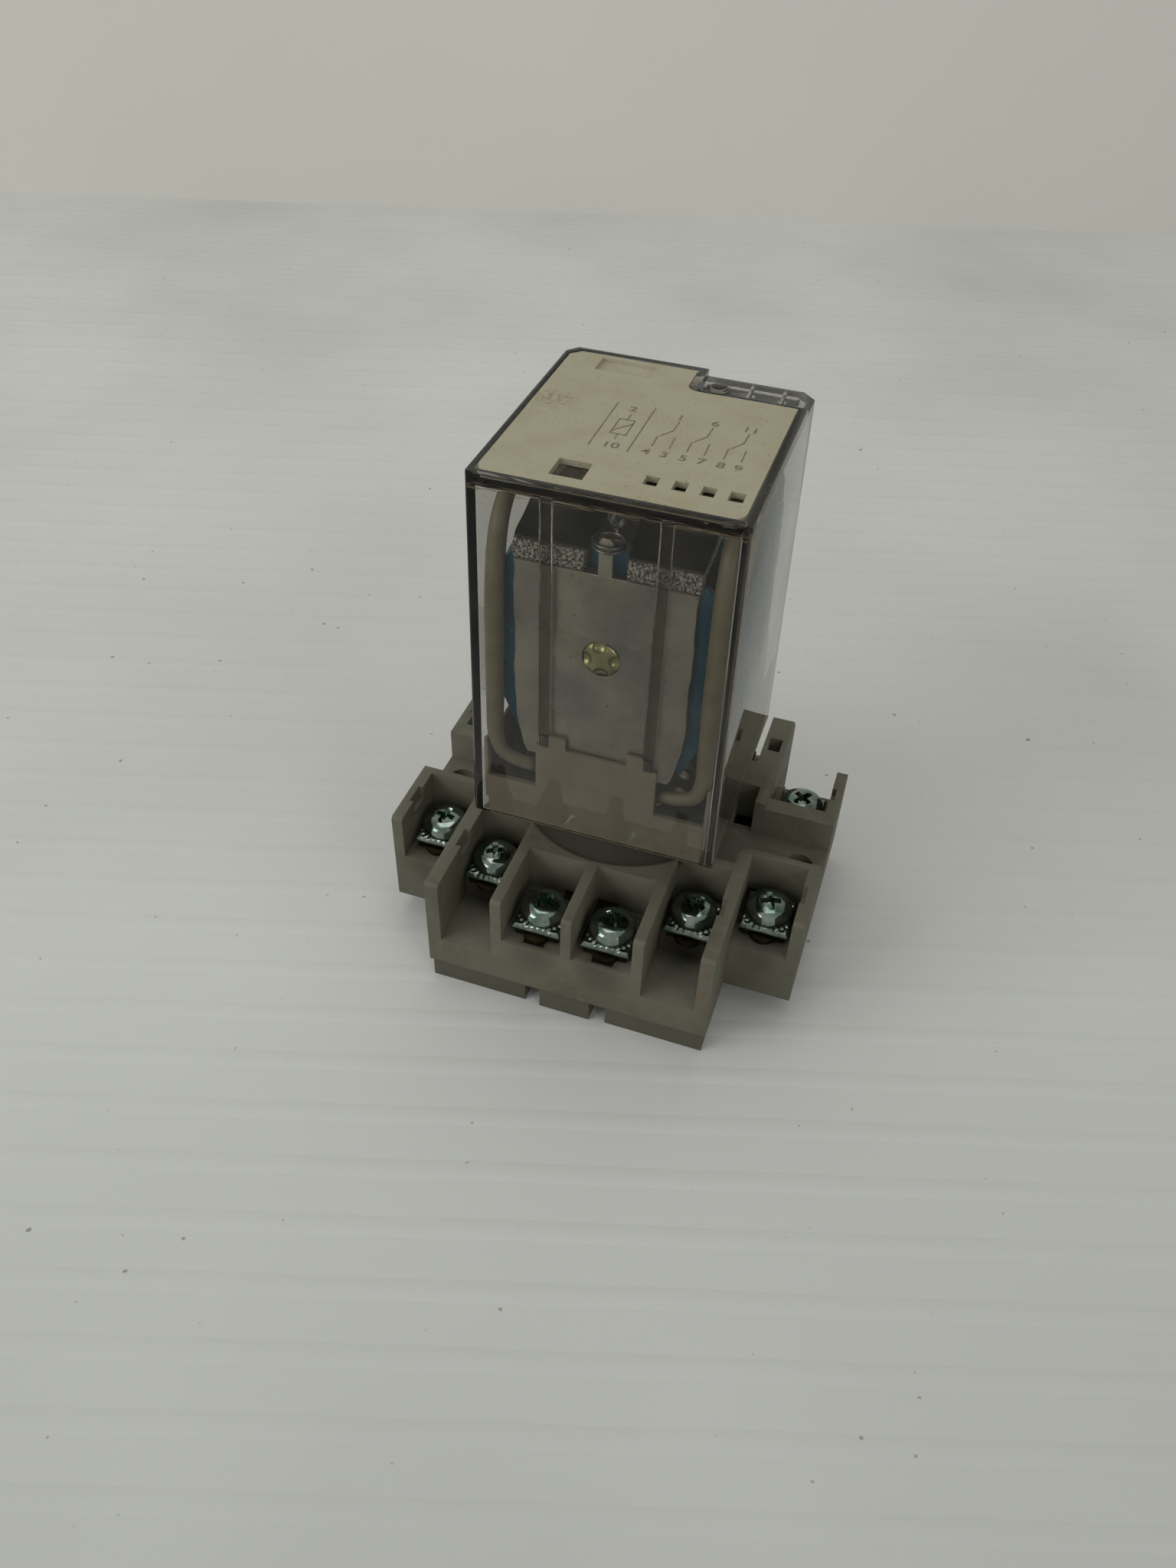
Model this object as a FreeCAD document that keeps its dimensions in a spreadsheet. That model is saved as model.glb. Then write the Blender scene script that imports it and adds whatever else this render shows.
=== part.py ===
"""Plug-in relay on a screw-terminal socket, as a FreeCAD document.

A three-pole relay in a clear cover plugs into an eleven-pin socket. The frame's origin is on the
table under the relay's axis: X to the right, Y to the back, Z up. Millimetres and degrees.
"""
import FreeCAD, Part
import math
import os

import Sketcher

Vector = FreeCAD.Vector

doc = FreeCAD.newDocument("plug_in_relay")
sheet = doc.addObject("Spreadsheet::Sheet", "Sizes")


# ---------------------------------------------------------------- sizes

class Dim:
    """A size held twice: as a number, and as the formula that ties it to the sheet."""

    def __init__(self, number, formula):
        self.number = number
        self.formula = formula

    def __add__(self, other):
        return joined(self, "+", other, self.number + number(other))

    def __radd__(self, other):
        return joined(other, "+", self, number(other) + self.number)

    def __sub__(self, other):
        return joined(self, "-", other, self.number - number(other))

    def __rsub__(self, other):
        return joined(other, "-", self, number(other) - self.number)

    def __mul__(self, other):
        return joined(self, "*", other, self.number * number(other))

    def __rmul__(self, other):
        return joined(other, "*", self, number(other) * self.number)

    def __truediv__(self, other):
        return joined(self, "/", other, self.number / number(other))

    def __neg__(self):
        return Dim(-self.number, "(-1 * %s)" % self.formula)


def number(value):
    return value.number if isinstance(value, Dim) else float(value)


def formula(value):
    return value.formula if isinstance(value, Dim) else "%.6g" % value


def joined(left, sign, right, result):
    return Dim(result, "(%s %s %s)" % (formula(left), sign, formula(right)))


class Sizes:
    """The driving dimensions, one attribute for each named cell of the sheet."""


def fill_sheet(rows):
    for row, (alias, amount, meaning) in enumerate(rows, start=1):
        sheet.set("A%d" % row, meaning)
        sheet.set("B%d" % row, "%g" % amount)
        sheet.setAlias("B%d" % row, alias)
        setattr(Sizes, alias, Dim(float(amount), "Sizes." + alias))
    doc.recompute()


fill_sheet([
    # socket moulding
    ("socket_half_width", 33.2, "outer terminal blocks, centre line to outer face"),
    ("block_half_width", 22.6, "front centre block, centre line to outer face"),
    ("rear_half_width", 22.0, "rear centre block, centre line to outer face"),
    ("socket_half_length", 30.0, "centre line to the front and rear faces"),
    ("outer_end", 18.8, "centre line to the ends of the outer blocks"),
    ("plate_height", 4.1, "base plate under the centre block"),
    ("wall_top", 21.5, "tops of the barrier walls and of the middle deck"),
    ("side_deck", 15.0, "top of the two low decks with the mounting holes"),
    ("deck_front", 5.8, "centre line to the front edge of the low decks"),
    ("deck_rear", 4.7, "centre line to the rear edge of the low decks"),
    ("rear_top", 20.5, "tops of the rear outer blocks"),
    ("floor", 13.2, "floor of the terminal compartments"),
    ("low_floor", 9.5, "floor of the wire entries in front of the inner terminals"),
    ("outer_wall", 1.8, "outermost barrier walls"),
    ("partition", 0.8, "half the wall between the two front centre terminals"),
    ("centre_cell_side", 10.3, "centre line to the sides of the front centre compartments"),
    ("inner_cell_near", 12.0, "centre line to the near sides of the front inner compartments"),
    ("inner_cell_far", 20.4, "centre line to the far sides of the front inner compartments"),
    ("rear_cell_near", 7.3, "centre line to the near sides of the rear side compartments"),
    ("rear_cell_far", 18.3, "centre line to the far sides of the rear side compartments"),
    ("bite_depth", 2.4, "notches in the wall tops that hold a terminal guard"),
    ("centre_cell_end", 17.5, "centre line to the inner ends of the centre compartments"),
    ("inner_cell_end", 11.0, "the same for the front inner compartments"),
    ("outer_cell_end", 7.0, "the same for the front outer compartments"),
    ("rear_outer_end", 7.6, "the same for the rear outer compartments"),
    ("rear_cell_end", 14.6, "the same for the rear side compartments"),
    ("front_entry", 19.6, "centre line to the step down into the front wire entries"),
    ("rear_entry", 25.0, "centre line to the step down into the rear wire entries"),
    ("boss_radius", 16.3, "round boss that carries the relay"),
    ("boss_top", 28.7, "top of the boss"),
    ("mount_x", 29.3, "mounting holes, centre line to hole"),
    ("mount_radius", 2.2, "mounting holes"),
    ("skin", 1.3, "wall between the underside cavity and the compartments"),
    ("cavity_top", 14.3, "roof of the underside cavity"),
    # terminals
    ("centre_x", 5.5, "front centre terminals"),
    ("centre_y", 24.1, "front centre terminals"),
    ("inner_x", 16.3, "front inner terminals"),
    ("inner_y", 16.8, "front inner terminals"),
    ("outer_x", 27.0, "front and rear outer terminals"),
    ("outer_y", 12.2, "front and rear outer terminals"),
    ("rear_x", 12.8, "rear side terminals"),
    ("rear_y", 20.6, "rear side terminals"),
    ("pad_half", 3.3, "half the width of a strip's screw pad"),
    ("strip_thick", 0.8, "brass strip"),
    ("strip_half", 1.5, "half the width of a strip's leg"),
    ("tongue_radius", 2.2, "round end of a strip's screw pad"),
    ("tongue_reach", 2.6, "screw to the centre of that round end"),
    ("clamp_gap", 0.5, "strip to clamp plate with the screw home"),
    ("clamp_width", 7.6, "square clamp plate"),
    ("clamp_thick", 0.7, "rim of the square clamp plate"),
    ("clamp_rise", 0.6, "the plate's middle above its rim"),
    ("screw_radius", 1.7, "terminal screw shank"),
    ("head_radius", 3.35, "terminal screw head"),
    ("head_height", 2.3, "terminal screw head"),
    ("shank", 7.8, "terminal screw shank below the head"),
    ("fit", 0.04, "radial clearance of a running fit"),
    ("gap", 0.15, "clearance between loose pieces"),
    # plug
    ("pin_circle", 9.525, "radius of the circle of pins"),
    ("pin_radius", 1.18, "plug pin"),
    ("pin_tip", 18.2, "lower end of the pins"),
    ("spigot_radius", 4.0, "keyed centre spigot"),
    ("spigot_tip", 15.5, "lower end of the spigot"),
    ("sleeve_radius", 1.6, "outside of a contact sleeve"),
    # relay
    ("relay_foot", 29.0, "underside of the relay"),
    ("cover_half_width", 17.75, "cover, centre line to side"),
    ("cover_half_depth", 19.4, "cover, centre line to front and back"),
    ("cover_height", 56.4, "cover, underside to top"),
    ("cover_wall", 1.2, "cover walls"),
    ("label_thick", 1.0, "top plate, let into the cover"),
    ("corner_x", 1.4, "left edge of the top plate's cut corner"),
    ("corner_y", 12.1, "front edge of the top plate's cut corner"),
    ("base_floor", 31.6, "top of the relay base's floor"),
    ("coil_z", 60.8, "coil axis above the table"),
    ("yoke_face", -17.3, "front face of the yoke"),
    ("yoke_thick", 2.0, "yoke steel"),
    ("yoke_half_width", 12.3, "yoke"),
    ("yoke_top", 77.0, "top face of the yoke"),
    ("yoke_foot", 42.0, "lower edge of the yoke's front plate"),
    ("pole_face", 1.7, "rear end of the core and of the yoke"),
    ("open_angle", 3.0, "swing of the armature"),
    ("pole_pitch", 10.5, "spacing of the three contact sets"),
    ("contact_z", 47.0, "height of the contact points with the armature closed"),
])
S = Sizes


# ---------------------------------------------------------------- building blocks

def bind(item, prop, value):
    item.setExpression(prop, formula(value))


def place(item, x=0, y=0, z=0):
    for letter, value in zip("xyz", (x, y, z)):
        bind(item, "Placement.Base." + letter, value)


def box(name, x, y, z):
    """A block between two limits along each axis."""
    block = doc.addObject("Part::Box", name)
    for prop, axis, (low, high) in (("Length", "x", x), ("Width", "y", y), ("Height", "z", z)):
        bind(block, prop, high - low)
        bind(block, "Placement.Base." + axis, low)
    return block


TURN = {
    "z": FreeCAD.Rotation(),
    "y": FreeCAD.Rotation(Vector(1, 0, 0), -90),
    "x": FreeCAD.Rotation(Vector(0, 1, 0), 90),
}


def rod(name, start, radius, length, axis="z"):
    """A round bar that runs from its start along one axis."""
    bar = doc.addObject("Part::Cylinder", name)
    bar.Placement = FreeCAD.Placement(Vector(), TURN[axis])
    bind(bar, "Radius", radius)
    bind(bar, "Height", length)
    for letter, value in zip("xyz", start):
        bind(bar, "Placement.Base." + letter, value)
    return bar


def bevel(name, x, y, z, size):
    """A square bar on its corner, which cuts an edge at (y, z) back by size on both faces."""
    side = size * math.sqrt(2)
    bar = doc.addObject("Part::Box", name)
    bar.Placement = FreeCAD.Placement(Vector(), FreeCAD.Rotation(Vector(1, 0, 0), 45))
    bind(bar, "Length", x[1] - x[0])
    bind(bar, "Width", side)
    bind(bar, "Height", side)
    place(bar, x[0], y, z - size)
    return bar


def corner_bevel(name, x, y, z, size):
    """The same for an upright edge at (x, y)."""
    side = size * math.sqrt(2)
    bar = doc.addObject("Part::Box", name)
    bar.Placement = FreeCAD.Placement(Vector(), FreeCAD.Rotation(Vector(0, 0, 1), 45))
    bind(bar, "Length", side)
    bind(bar, "Width", side)
    bind(bar, "Height", z[1] - z[0])
    place(bar, x, y - size, z[0])
    return bar


def fuse(name, pieces):
    whole = doc.addObject("Part::MultiFuse", name)
    whole.Shapes = pieces
    return whole


def cut(name, base, tools):
    """The base less the tools. A boolean that removes nothing is a mistake, so it stops the build."""
    tool = fuse(name + "_tools", tools) if len(tools) > 1 else tools[0]
    rest = doc.addObject("Part::Cut", name)
    rest.Base = base
    rest.Tool = tool
    doc.recompute()
    if rest.Shape.Volume > base.Shape.Volume - 1e-6:
        raise RuntimeError(name + ": nothing was cut")
    return rest


def group(name, pieces):
    """Separate solids that share one node."""
    together = doc.addObject("Part::Compound", name)
    together.Links = pieces
    return together


def both(low, high):
    """A span on the right of the centre line and the same span mirrored to the left."""
    return ((low, high), (-high, -low))


def new_body(name):
    return doc.addObject("PartDesign::Body", name)


def outline(body, name, role, corners, level=0):
    """A closed outline with straight sides, drawn on one of the body's own planes."""
    sketch = body.newObject("Sketcher::SketchObject", name)
    plane = next(item for item in body.Origin.OriginFeatures if item.Role == role)
    sketch.AttachmentSupport = (plane, [""])
    sketch.MapMode = "FlatFace"
    bind(sketch, "AttachmentOffset.Base.z", level)
    places = [Vector(number(u), number(v), 0) for u, v in corners]
    count = len(places)
    for side in range(count):
        sketch.addGeometry(Part.LineSegment(places[side], places[(side + 1) % count]))
    for side in range(count):
        sketch.addConstraint(Sketcher.Constraint("Coincident", side, 2, (side + 1) % count, 1))
    for side, corner in enumerate(corners):
        for kind, value in zip(("DistanceX", "DistanceY"), corner):
            index = sketch.addConstraint(Sketcher.Constraint(kind, -1, 1, side, 1, number(value)))
            sketch.setExpression("Constraints[%d]" % index, formula(value))
    return sketch


def circle(body, name, role, centre, radius, level=0):
    """A round outline on one of the body's own planes."""
    sketch = body.newObject("Sketcher::SketchObject", name)
    plane = next(item for item in body.Origin.OriginFeatures if item.Role == role)
    sketch.AttachmentSupport = (plane, [""])
    sketch.MapMode = "FlatFace"
    bind(sketch, "AttachmentOffset.Base.z", level)
    middle = Vector(number(centre[0]), number(centre[1]), 0)
    sketch.addGeometry(Part.Circle(middle, Vector(0, 0, 1), number(radius)))
    for kind, value in zip(("DistanceX", "DistanceY"), centre):
        index = sketch.addConstraint(Sketcher.Constraint(kind, -1, 1, 0, 3, number(value)))
        sketch.setExpression("Constraints[%d]" % index, formula(value))
    index = sketch.addConstraint(Sketcher.Constraint("Radius", 0, number(radius)))
    sketch.setExpression("Constraints[%d]" % index, formula(radius))
    return sketch


def pad(body, sketch, length, reverse=False, middle=False):
    """Thickens an outline along its plane's normal, or to both sides of the plane."""
    feature = body.newObject("PartDesign::Pad", sketch.Name + "_pad")
    feature.Profile = sketch
    bind(feature, "Length", length)
    feature.Reversed = reverse
    feature.Midplane = middle
    return feature


def pocket(body, sketch, depth, reverse=False):
    """Cuts an outline out of the body and checks that something went."""
    doc.recompute()
    before = body.Shape.Volume
    feature = body.newObject("PartDesign::Pocket", sketch.Name + "_pocket")
    feature.Profile = sketch
    bind(feature, "Length", depth)
    feature.Reversed = reverse
    doc.recompute()
    if body.Shape.Volume > before - 1e-6:
        raise RuntimeError(feature.Name + ": nothing was cut")
    return feature


def lathe(body, name, profile):
    """Turns a half profile, given as radius and height, about the body's own Z axis."""
    sketch = outline(body, name, "XZ_Plane", profile)
    feature = body.newObject("PartDesign::Revolution", name + "_turned")
    feature.Profile = sketch
    feature.ReferenceAxis = (sketch, ["V_Axis"])
    feature.Angle = 360
    doc.recompute()
    return feature


def soften(body, kind, radius, chosen):
    """A fillet or chamfer on the edges of the body's tip that the test picks."""
    doc.recompute()
    tip = body.Tip
    names = ["Edge%d" % (i + 1) for i, edge in enumerate(tip.Shape.Edges) if chosen(edge)]
    if not names:
        raise RuntimeError(body.Name + ": no edge to soften")
    feature = body.newObject("PartDesign::" + kind, "%s_%s%d" % (body.Name, kind.lower(), len(body.Group)))
    feature.Base = (tip, names)
    bind(feature, "Radius" if kind == "Fillet" else "Size", radius)
    doc.recompute()
    return feature


def runs_along(edge, axis):
    """True for a straight edge that runs along an axis."""
    ends = [vertex.Point for vertex in edge.Vertexes]
    if len(ends) < 2 or edge.Curve.TypeId != "Part::GeomLine":
        return False
    step = ends[1] - ends[0]
    return abs(getattr(step, axis)) > 0.999 * step.Length


finished = []


def finish(item, label):
    """Names a sub-part. The label is the name of its file."""
    item.Label = label
    finished.append(item)


# ---------------------------------------------------------------- terminals and pins

PIN_COUNT = 11


def ordered(low, high):
    return (low, high) if number(low) < number(high) else (high, low)


def strip_leg(start, end):
    """A run of strip between two places on one line, as the spans of its block."""
    spans = []
    for a, b in zip(start, end):
        low, high = ordered(a, b)
        spans.append((low - S.strip_half, high + S.strip_half))
    return spans


class Terminal:
    """One of the eleven terminals: its screw at x, y, its pin, and the strip from one to the other.

    Slots on the circle of pins count from the key, which points to the front. The strip leaves
    the pin sideways as far as bend and then runs to the screw's row, or runs straight there.
    """

    def __init__(self, slot, x, y, bend=None):
        turn = math.radians(360.0 / PIN_COUNT * slot)
        self.x = x
        self.y = y
        self.pin = (S.pin_circle * math.sin(turn), S.pin_circle * -math.cos(turn))
        px, py = self.pin
        if bend is None:
            self.legs = [strip_leg(self.pin, (px, y))]
        else:
            self.legs = [strip_leg(self.pin, (bend, py)), strip_leg((bend, py), (bend, y))]


def side_terminals(side):
    """The five terminals of one side, from the front centre round to the back."""
    outer_bend = side * (S.outer_x - 2.7)
    return [
        Terminal(side * 0.5, side * S.centre_x, -S.centre_y),
        Terminal(side * 1.5, side * S.inner_x, -S.inner_y, side * S.inner_x),
        Terminal(side * 2.5, side * S.outer_x, -S.outer_y, outer_bend),
        Terminal(side * 3.5, side * S.outer_x, S.outer_y, outer_bend),
        Terminal(side * 4.5, side * S.rear_x, S.rear_y, side * S.rear_x),
    ]


def make_terminals():
    """All eleven, clockwise from above: up the left side, the rear centre one, down the right side."""
    rear_centre = Terminal(5.5, Dim(0, "0"), S.centre_y)
    return side_terminals(-1) + [rear_centre] + side_terminals(1)[::-1]


# ---------------------------------------------------------------- socket

def compartments():
    """The open-ended pockets that hold the terminals, from the floor to the wall tops."""
    over = S.wall_top + 0.5
    front = -S.socket_half_length - 0.5
    rear = S.socket_half_length + 0.5
    outer = S.outer_end + 0.5
    floor = (S.floor, over)
    entry = (S.low_floor, over)
    cells = []
    for side, x in enumerate(both(S.partition, S.centre_cell_side)):
        cells.append(box("centre_cell%d" % side, x, (front, -S.centre_cell_end), floor))
    for side, x in enumerate(both(S.inner_cell_near, S.inner_cell_far)):
        cells.append(box("inner_cell%d" % side, x, (front, -S.inner_cell_end), floor))
        cells.append(box("inner_entry%d" % side, x, (front, -S.front_entry), entry))
    for side, x in enumerate(both(S.block_half_width, S.socket_half_width - S.outer_wall)):
        cells.append(box("outer_cell%d" % side, x, (-outer, -S.outer_cell_end), floor))
    for side, x in enumerate(both(S.rear_half_width, S.socket_half_width - S.outer_wall)):
        cells.append(box("rear_outer_cell%d" % side, x, (S.rear_outer_end, outer), floor))
    for side, x in enumerate(both(S.rear_cell_near, S.rear_cell_far)):
        cells.append(box("rear_cell%d" % side, x, (S.rear_cell_end, rear), floor))
        cells.append(box("rear_entry%d" % side, x, (S.rear_entry, rear), entry))
    cells.append(box("rear_centre_cell", (-S.centre_x, S.centre_x), (S.centre_cell_end, rear), floor))
    for side, x in enumerate(both(S.rear_half_width, S.socket_half_width + 0.5)):
        cells.append(box("rear_top_cut%d" % side, x, (S.deck_rear - 0.5, outer), (S.rear_top, over)))
    return cells


def side_decks():
    """The two low decks that reach in from the sides and run round the boss."""
    cuts = []
    post = rod("boss_foot", (0, 0, S.side_deck - 1), S.boss_radius, 20)
    inner = S.inner_cell_far
    wall = S.inner_cell_end - S.skin
    chamfer = 1.1
    for side in (-1, 1):
        tag = "%d" % (side + 1)
        deck = new_body("deck" + tag)
        shape = [
            (side * (S.boss_radius - 1), -wall), (side * inner, -wall),
            (side * inner, -S.deck_front - chamfer), (side * (inner + chamfer), -S.deck_front),
            (side * (S.socket_half_width + 1), -S.deck_front),
            (side * (S.socket_half_width + 1), S.deck_rear),
            (side * (S.boss_radius - 1), S.deck_rear),
        ]
        pad(deck, outline(deck, "deck_outline" + tag, "XY_Plane", shape, S.side_deck), 10)
        cuts.append(cut("deck_cut" + tag, deck, [post]))
    return cuts


def wall_details():
    """Bites for a terminal guard, clip slots, notches, post holes and the bevels on the wall ends."""
    over = S.wall_top + 0.5
    wide = (-S.socket_half_width - 1, S.socket_half_width + 1)
    bite = (S.wall_top - S.bite_depth, over)
    cuts = []
    for side, x in enumerate(both(S.inner_cell_far - 0.1, S.inner_cell_far + 0.9)):
        cuts.append(box("inner_bite%d" % side, x, (-20.9, -17.1), bite))
    inside = S.socket_half_width - S.outer_wall
    for side, x in enumerate(both(inside - 0.1, inside + 0.7)):
        cuts.append(box("outer_bite%d" % side, x, (-14.3, -10.7), bite))
        cuts.append(box("rear_bite%d" % side, x, (10.7, 13.5), bite))
    for side, x in enumerate(both(S.boss_radius + 0.7, S.boss_radius + 3.9)):
        cuts.append(box("clip_slot%d" % side, x, (S.deck_rear - 0.1, 8.6), (S.side_deck - 0.1, over)))
        cuts.append(box("clip_hole%d" % side, x, (5.7, 8.6), (S.cavity_top - 0.1, S.side_deck)))
    for side, x in enumerate(both(S.centre_x - 1.7, S.centre_x + 1.7)):
        cuts.append(box("tongue_notch%d" % side, x, (-29.1, -27.0), (S.floor - 0.9, over)))
    for side, x in enumerate(both(S.rear_half_width - 2.9, S.rear_half_width - 0.8)):
        cuts.append(box("post_hole%d" % side, x, (18.1, 21.4), (S.floor, over)))
    cuts.append(bevel("front_bevel", wide, -S.socket_half_length, S.wall_top, 0.5))
    cuts.append(bevel("rear_bevel", wide, S.socket_half_length, S.wall_top, 3.0))
    for side, x in enumerate(both(S.block_half_width, S.socket_half_width + 1)):
        cuts.append(bevel("outer_front_bevel%d" % side, x, -S.outer_end, S.wall_top, 0.5))
        cuts.append(bevel("outer_rear_bevel%d" % side, x, S.outer_end, S.rear_top, 1.0))
    return cuts


def underside_cavity():
    """The hollow under the middle deck, closed by the base plate, where the strips run."""
    z = (S.plate_height - 0.5, S.cavity_top)
    rear = S.rear_cell_end - S.skin
    return [
        box("cavity_front", (-9.8, 9.8), (S.skin - S.centre_cell_end, rear), z),
        box("cavity_wide", (-20.9, 20.9), (S.skin - S.inner_cell_end, rear), z),
        box("cavity_rear", (-4.3, 4.3), (0, S.centre_cell_end - S.skin), z),
    ]


def strip_channels(terminals):
    """Slots for the strips where they pass through the moulding, and pits for the screw ends."""
    cuts = []
    z = (S.floor - 0.05, S.floor + S.strip_thick + S.gap)
    for index, one in enumerate(terminals):
        for run, (x, y) in enumerate(one.legs):
            spans = [(low - S.gap, high + S.gap) for low, high in (x, y)]
            cuts.append(box("channel%d_%d" % (index, run), spans[0], spans[1], z))
        cuts.append(rod("pit%d" % index, (one.x, one.y, 7.0), S.screw_radius + 0.4, S.floor - 6.9))
    return cuts


def plug_bores(terminals):
    """The eleven sleeve bores with their narrower mouths, and the keyed hole for the spigot."""
    cuts = []
    mouth = 1.0
    for index, one in enumerate(terminals):
        x, y = one.pin
        depth = S.boss_top - mouth - S.cavity_top
        cuts.append(rod("bore%d" % index, (x, y, S.cavity_top - 0.1), S.sleeve_radius + 0.1, depth + 0.1))
        foot = S.boss_top - mouth - 0.1
        cuts.append(rod("mouth%d" % index, (x, y, foot), S.pin_radius + 0.2, mouth + 0.2))
    span = S.boss_top - S.cavity_top + 1
    cuts.append(rod("spigot_hole", (0, 0, S.cavity_top - 0.5), S.spigot_radius + S.gap, span))
    z = (S.cavity_top - 0.5, S.boss_top + 0.5)
    cuts.append(box("keyway", (-1.1, 1.1), (-S.spigot_radius - 1.5, 0), z))
    return cuts


BASE_SCREWS = [(-16.3, -26.4), (16.3, -26.4), (-12.8, 27.2), (12.8, 27.2)]


def make_socket_body(terminals):
    z = (S.plate_height, S.wall_top)
    front = (-S.socket_half_length, 0)
    block = fuse("socket_block", [
        box("front_block", (-S.block_half_width, S.block_half_width), front, z),
        box("rear_block", (-S.rear_half_width, S.rear_half_width), (0, S.socket_half_length), z),
        box("outer_blocks", (-S.socket_half_width, S.socket_half_width), (-S.outer_end, S.outer_end), z),
        rod("boss", (0, 0, S.wall_top - 1), S.boss_radius, S.boss_top - S.wall_top + 1),
    ])
    cuts = compartments() + side_decks() + wall_details() + underside_cavity()
    cuts += strip_channels(terminals) + plug_bores(terminals)
    for side in (-1, 1):
        start = (side * S.mount_x, 0, S.plate_height - 0.5)
        cuts.append(rod("mount_hole%d" % (side + 1), start, S.mount_radius, S.side_deck))
    for index, (x, y) in enumerate(BASE_SCREWS):
        cuts.append(rod("screw_hole%d" % index, (x, y, S.plate_height - 0.5), 1.15, 5.0))
    finish(cut("moulding", block, cuts), "socket_body")


RAIL_HALF = 17.7
LATCH_CHANNEL = 6.6


def make_base_plate():
    """The cover under the centre block: a groove for a 35 mm rail and a channel for the latch."""
    inset = 0.4
    wide = (inset - S.block_half_width, S.block_half_width - inset)
    over = (-S.block_half_width - 1, S.block_half_width + 1)
    long = (inset - S.socket_half_length, S.socket_half_length - inset)
    slab = box("plate_slab", wide, long, (0, S.plate_height - 0.02))
    height = S.floor - S.plate_height + 0.95
    ring = rod("support_ring", (0, 0, S.plate_height - 1), S.pin_circle + 1.7, height)
    post = box("spring_post", (-1.2, 1.2), (-25.3, -24.3), (1.0, S.plate_height - 0.3))
    channel = (-LATCH_CHANNEL, LATCH_CHANNEL)
    cuts = [
        box("rail_groove", over, (-RAIL_HALF, RAIL_HALF), (-0.5, 3.0)),
        box("latch_channel", channel, (-31, -RAIL_HALF + 0.5), (1.5, 5.0)),
        box("latch_front", channel, (-31, -25.5), (-0.5, 5.0)),
        box("latch_rear", channel, (-21.8, -RAIL_HALF + 0.5), (-0.5, 5.0)),
    ]
    for index, (x, y) in enumerate(BASE_SCREWS):
        cuts.append(rod("sink%d" % index, (x, y, -0.5), 2.3, 2.4))
        cuts.append(rod("through%d" % index, (x, y, 0), 1.15, 6))
    plate = cut("plate_cut", slab, cuts)
    bore = rod("ring_bore", (0, 0, S.plate_height), S.pin_circle - 1.7, S.floor)
    lip = box("rail_lip", wide, (RAIL_HALF - 1.1, RAIL_HALF + 0.5), (0, 1.5))
    finish(fuse("base_plate", [plate, cut("ring", ring, [bore]), lip, post]), "socket_base_plate")


def make_base_screws():
    """Four self-tapping screws, driven up through the base plate."""
    screws = []
    for index, (x, y) in enumerate(BASE_SCREWS):
        head = rod("base_head%d" % index, (x, y, 0.3), 2.2, 1.55)
        shank = rod("base_shank%d" % index, (x, y, 1.5), 1.1, 6.6)
        whole = fuse("base_screw%d" % index, [head, shank])
        slot = box("base_slot%d" % index, (x - 2.5, x + 2.5), (y - 0.3, y + 0.3), (0, 0.9))
        screws.append(cut("slotted_screw%d" % index, whole, [slot]))
    finish(group("screws", screws), "base_screws")


def make_latch():
    """The sprung tongue at the front that hooks the rail. Its head is pulled forward to let go."""
    z = (1.7, S.plate_height - S.gap)
    low = 0.15
    head = box("latch_head", (-4.1, 4.1), (-S.socket_half_length, -26.0), (low, z[1]))
    slide = box("latch_slide", (-6.3, 6.3), (-26.2, -17.9), z)
    nose = box("latch_nose", (-6.3, 6.3), (-19.1, -17.9), (low, z[1]))
    hook = box("latch_hook", (-6.3, 6.3), (-18.2, -16.7), (low, 1.4))
    window = box("latch_window", (-2.2, 2.2), (-25.6, -19.4), (0, 6))
    pull = box("latch_pull", (-2.6, 2.6), (-29.2, -28.0), (-1, 1.4))
    whole = fuse("latch_whole", [head, slide, nose, hook])
    finish(cut("latch", whole, [window, pull]), "din_latch")


def make_latch_spring():
    """A zigzag strip of spring steel between the post of the base plate and the latch."""
    shift = 1.0
    left = -1.8
    right = 0.8
    turns = 5
    start = -24.2
    step = 0.94
    near = [((left, right)[index % 2], start + step * index) for index in range(turns + 1)]
    far = [(x + shift, y) for x, y in reversed(near)]
    body = new_body("spring_body")
    pad(body, outline(body, "zigzag", "XY_Plane", near + far, 1.9), 1.8)
    finish(body, "latch_spring")


def make_strips(terminals):
    """A brass strip for each terminal, with a screw pad at one end and a split sleeve at the other."""
    z = (S.floor, S.floor + S.strip_thick)
    for index, one in enumerate(terminals, start=1):
        tag = "_%02d" % index
        parts = [box("leg%s_%d" % (tag, run), x, y, z) for run, (x, y) in enumerate(one.legs)]
        reach = S.pad_half + 0.2
        pad_x = (one.x - S.pad_half, one.x + S.pad_half)
        parts.append(box("pad" + tag, pad_x, (one.y - reach, one.y + reach), z))
        tip_y = one.y + math.copysign(1, number(one.y)) * S.tongue_reach
        parts.append(rod("tongue" + tag, (one.x, tip_y, S.floor), S.tongue_radius, S.strip_thick))
        px, py = one.pin
        foot = S.floor + 0.2
        parts.append(rod("sleeve" + tag, (px, py, foot), S.sleeve_radius, 14.0))
        bore = rod("sleeve_bore" + tag, (px, py, S.floor + S.strip_thick), S.pin_radius + S.fit, 15)
        slit = box("slit" + tag, (px - 2, px + 2), (py - 0.2, py + 0.2), (S.floor + 5, S.floor + 16))
        thread = rod("thread" + tag, (one.x, one.y, S.floor - 1), S.screw_radius + S.fit, 3)
        strip = cut("strip" + tag, fuse("strip_blank" + tag, parts), [bore, slit, thread])
        finish(strip, "contact_strip" + tag)


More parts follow.
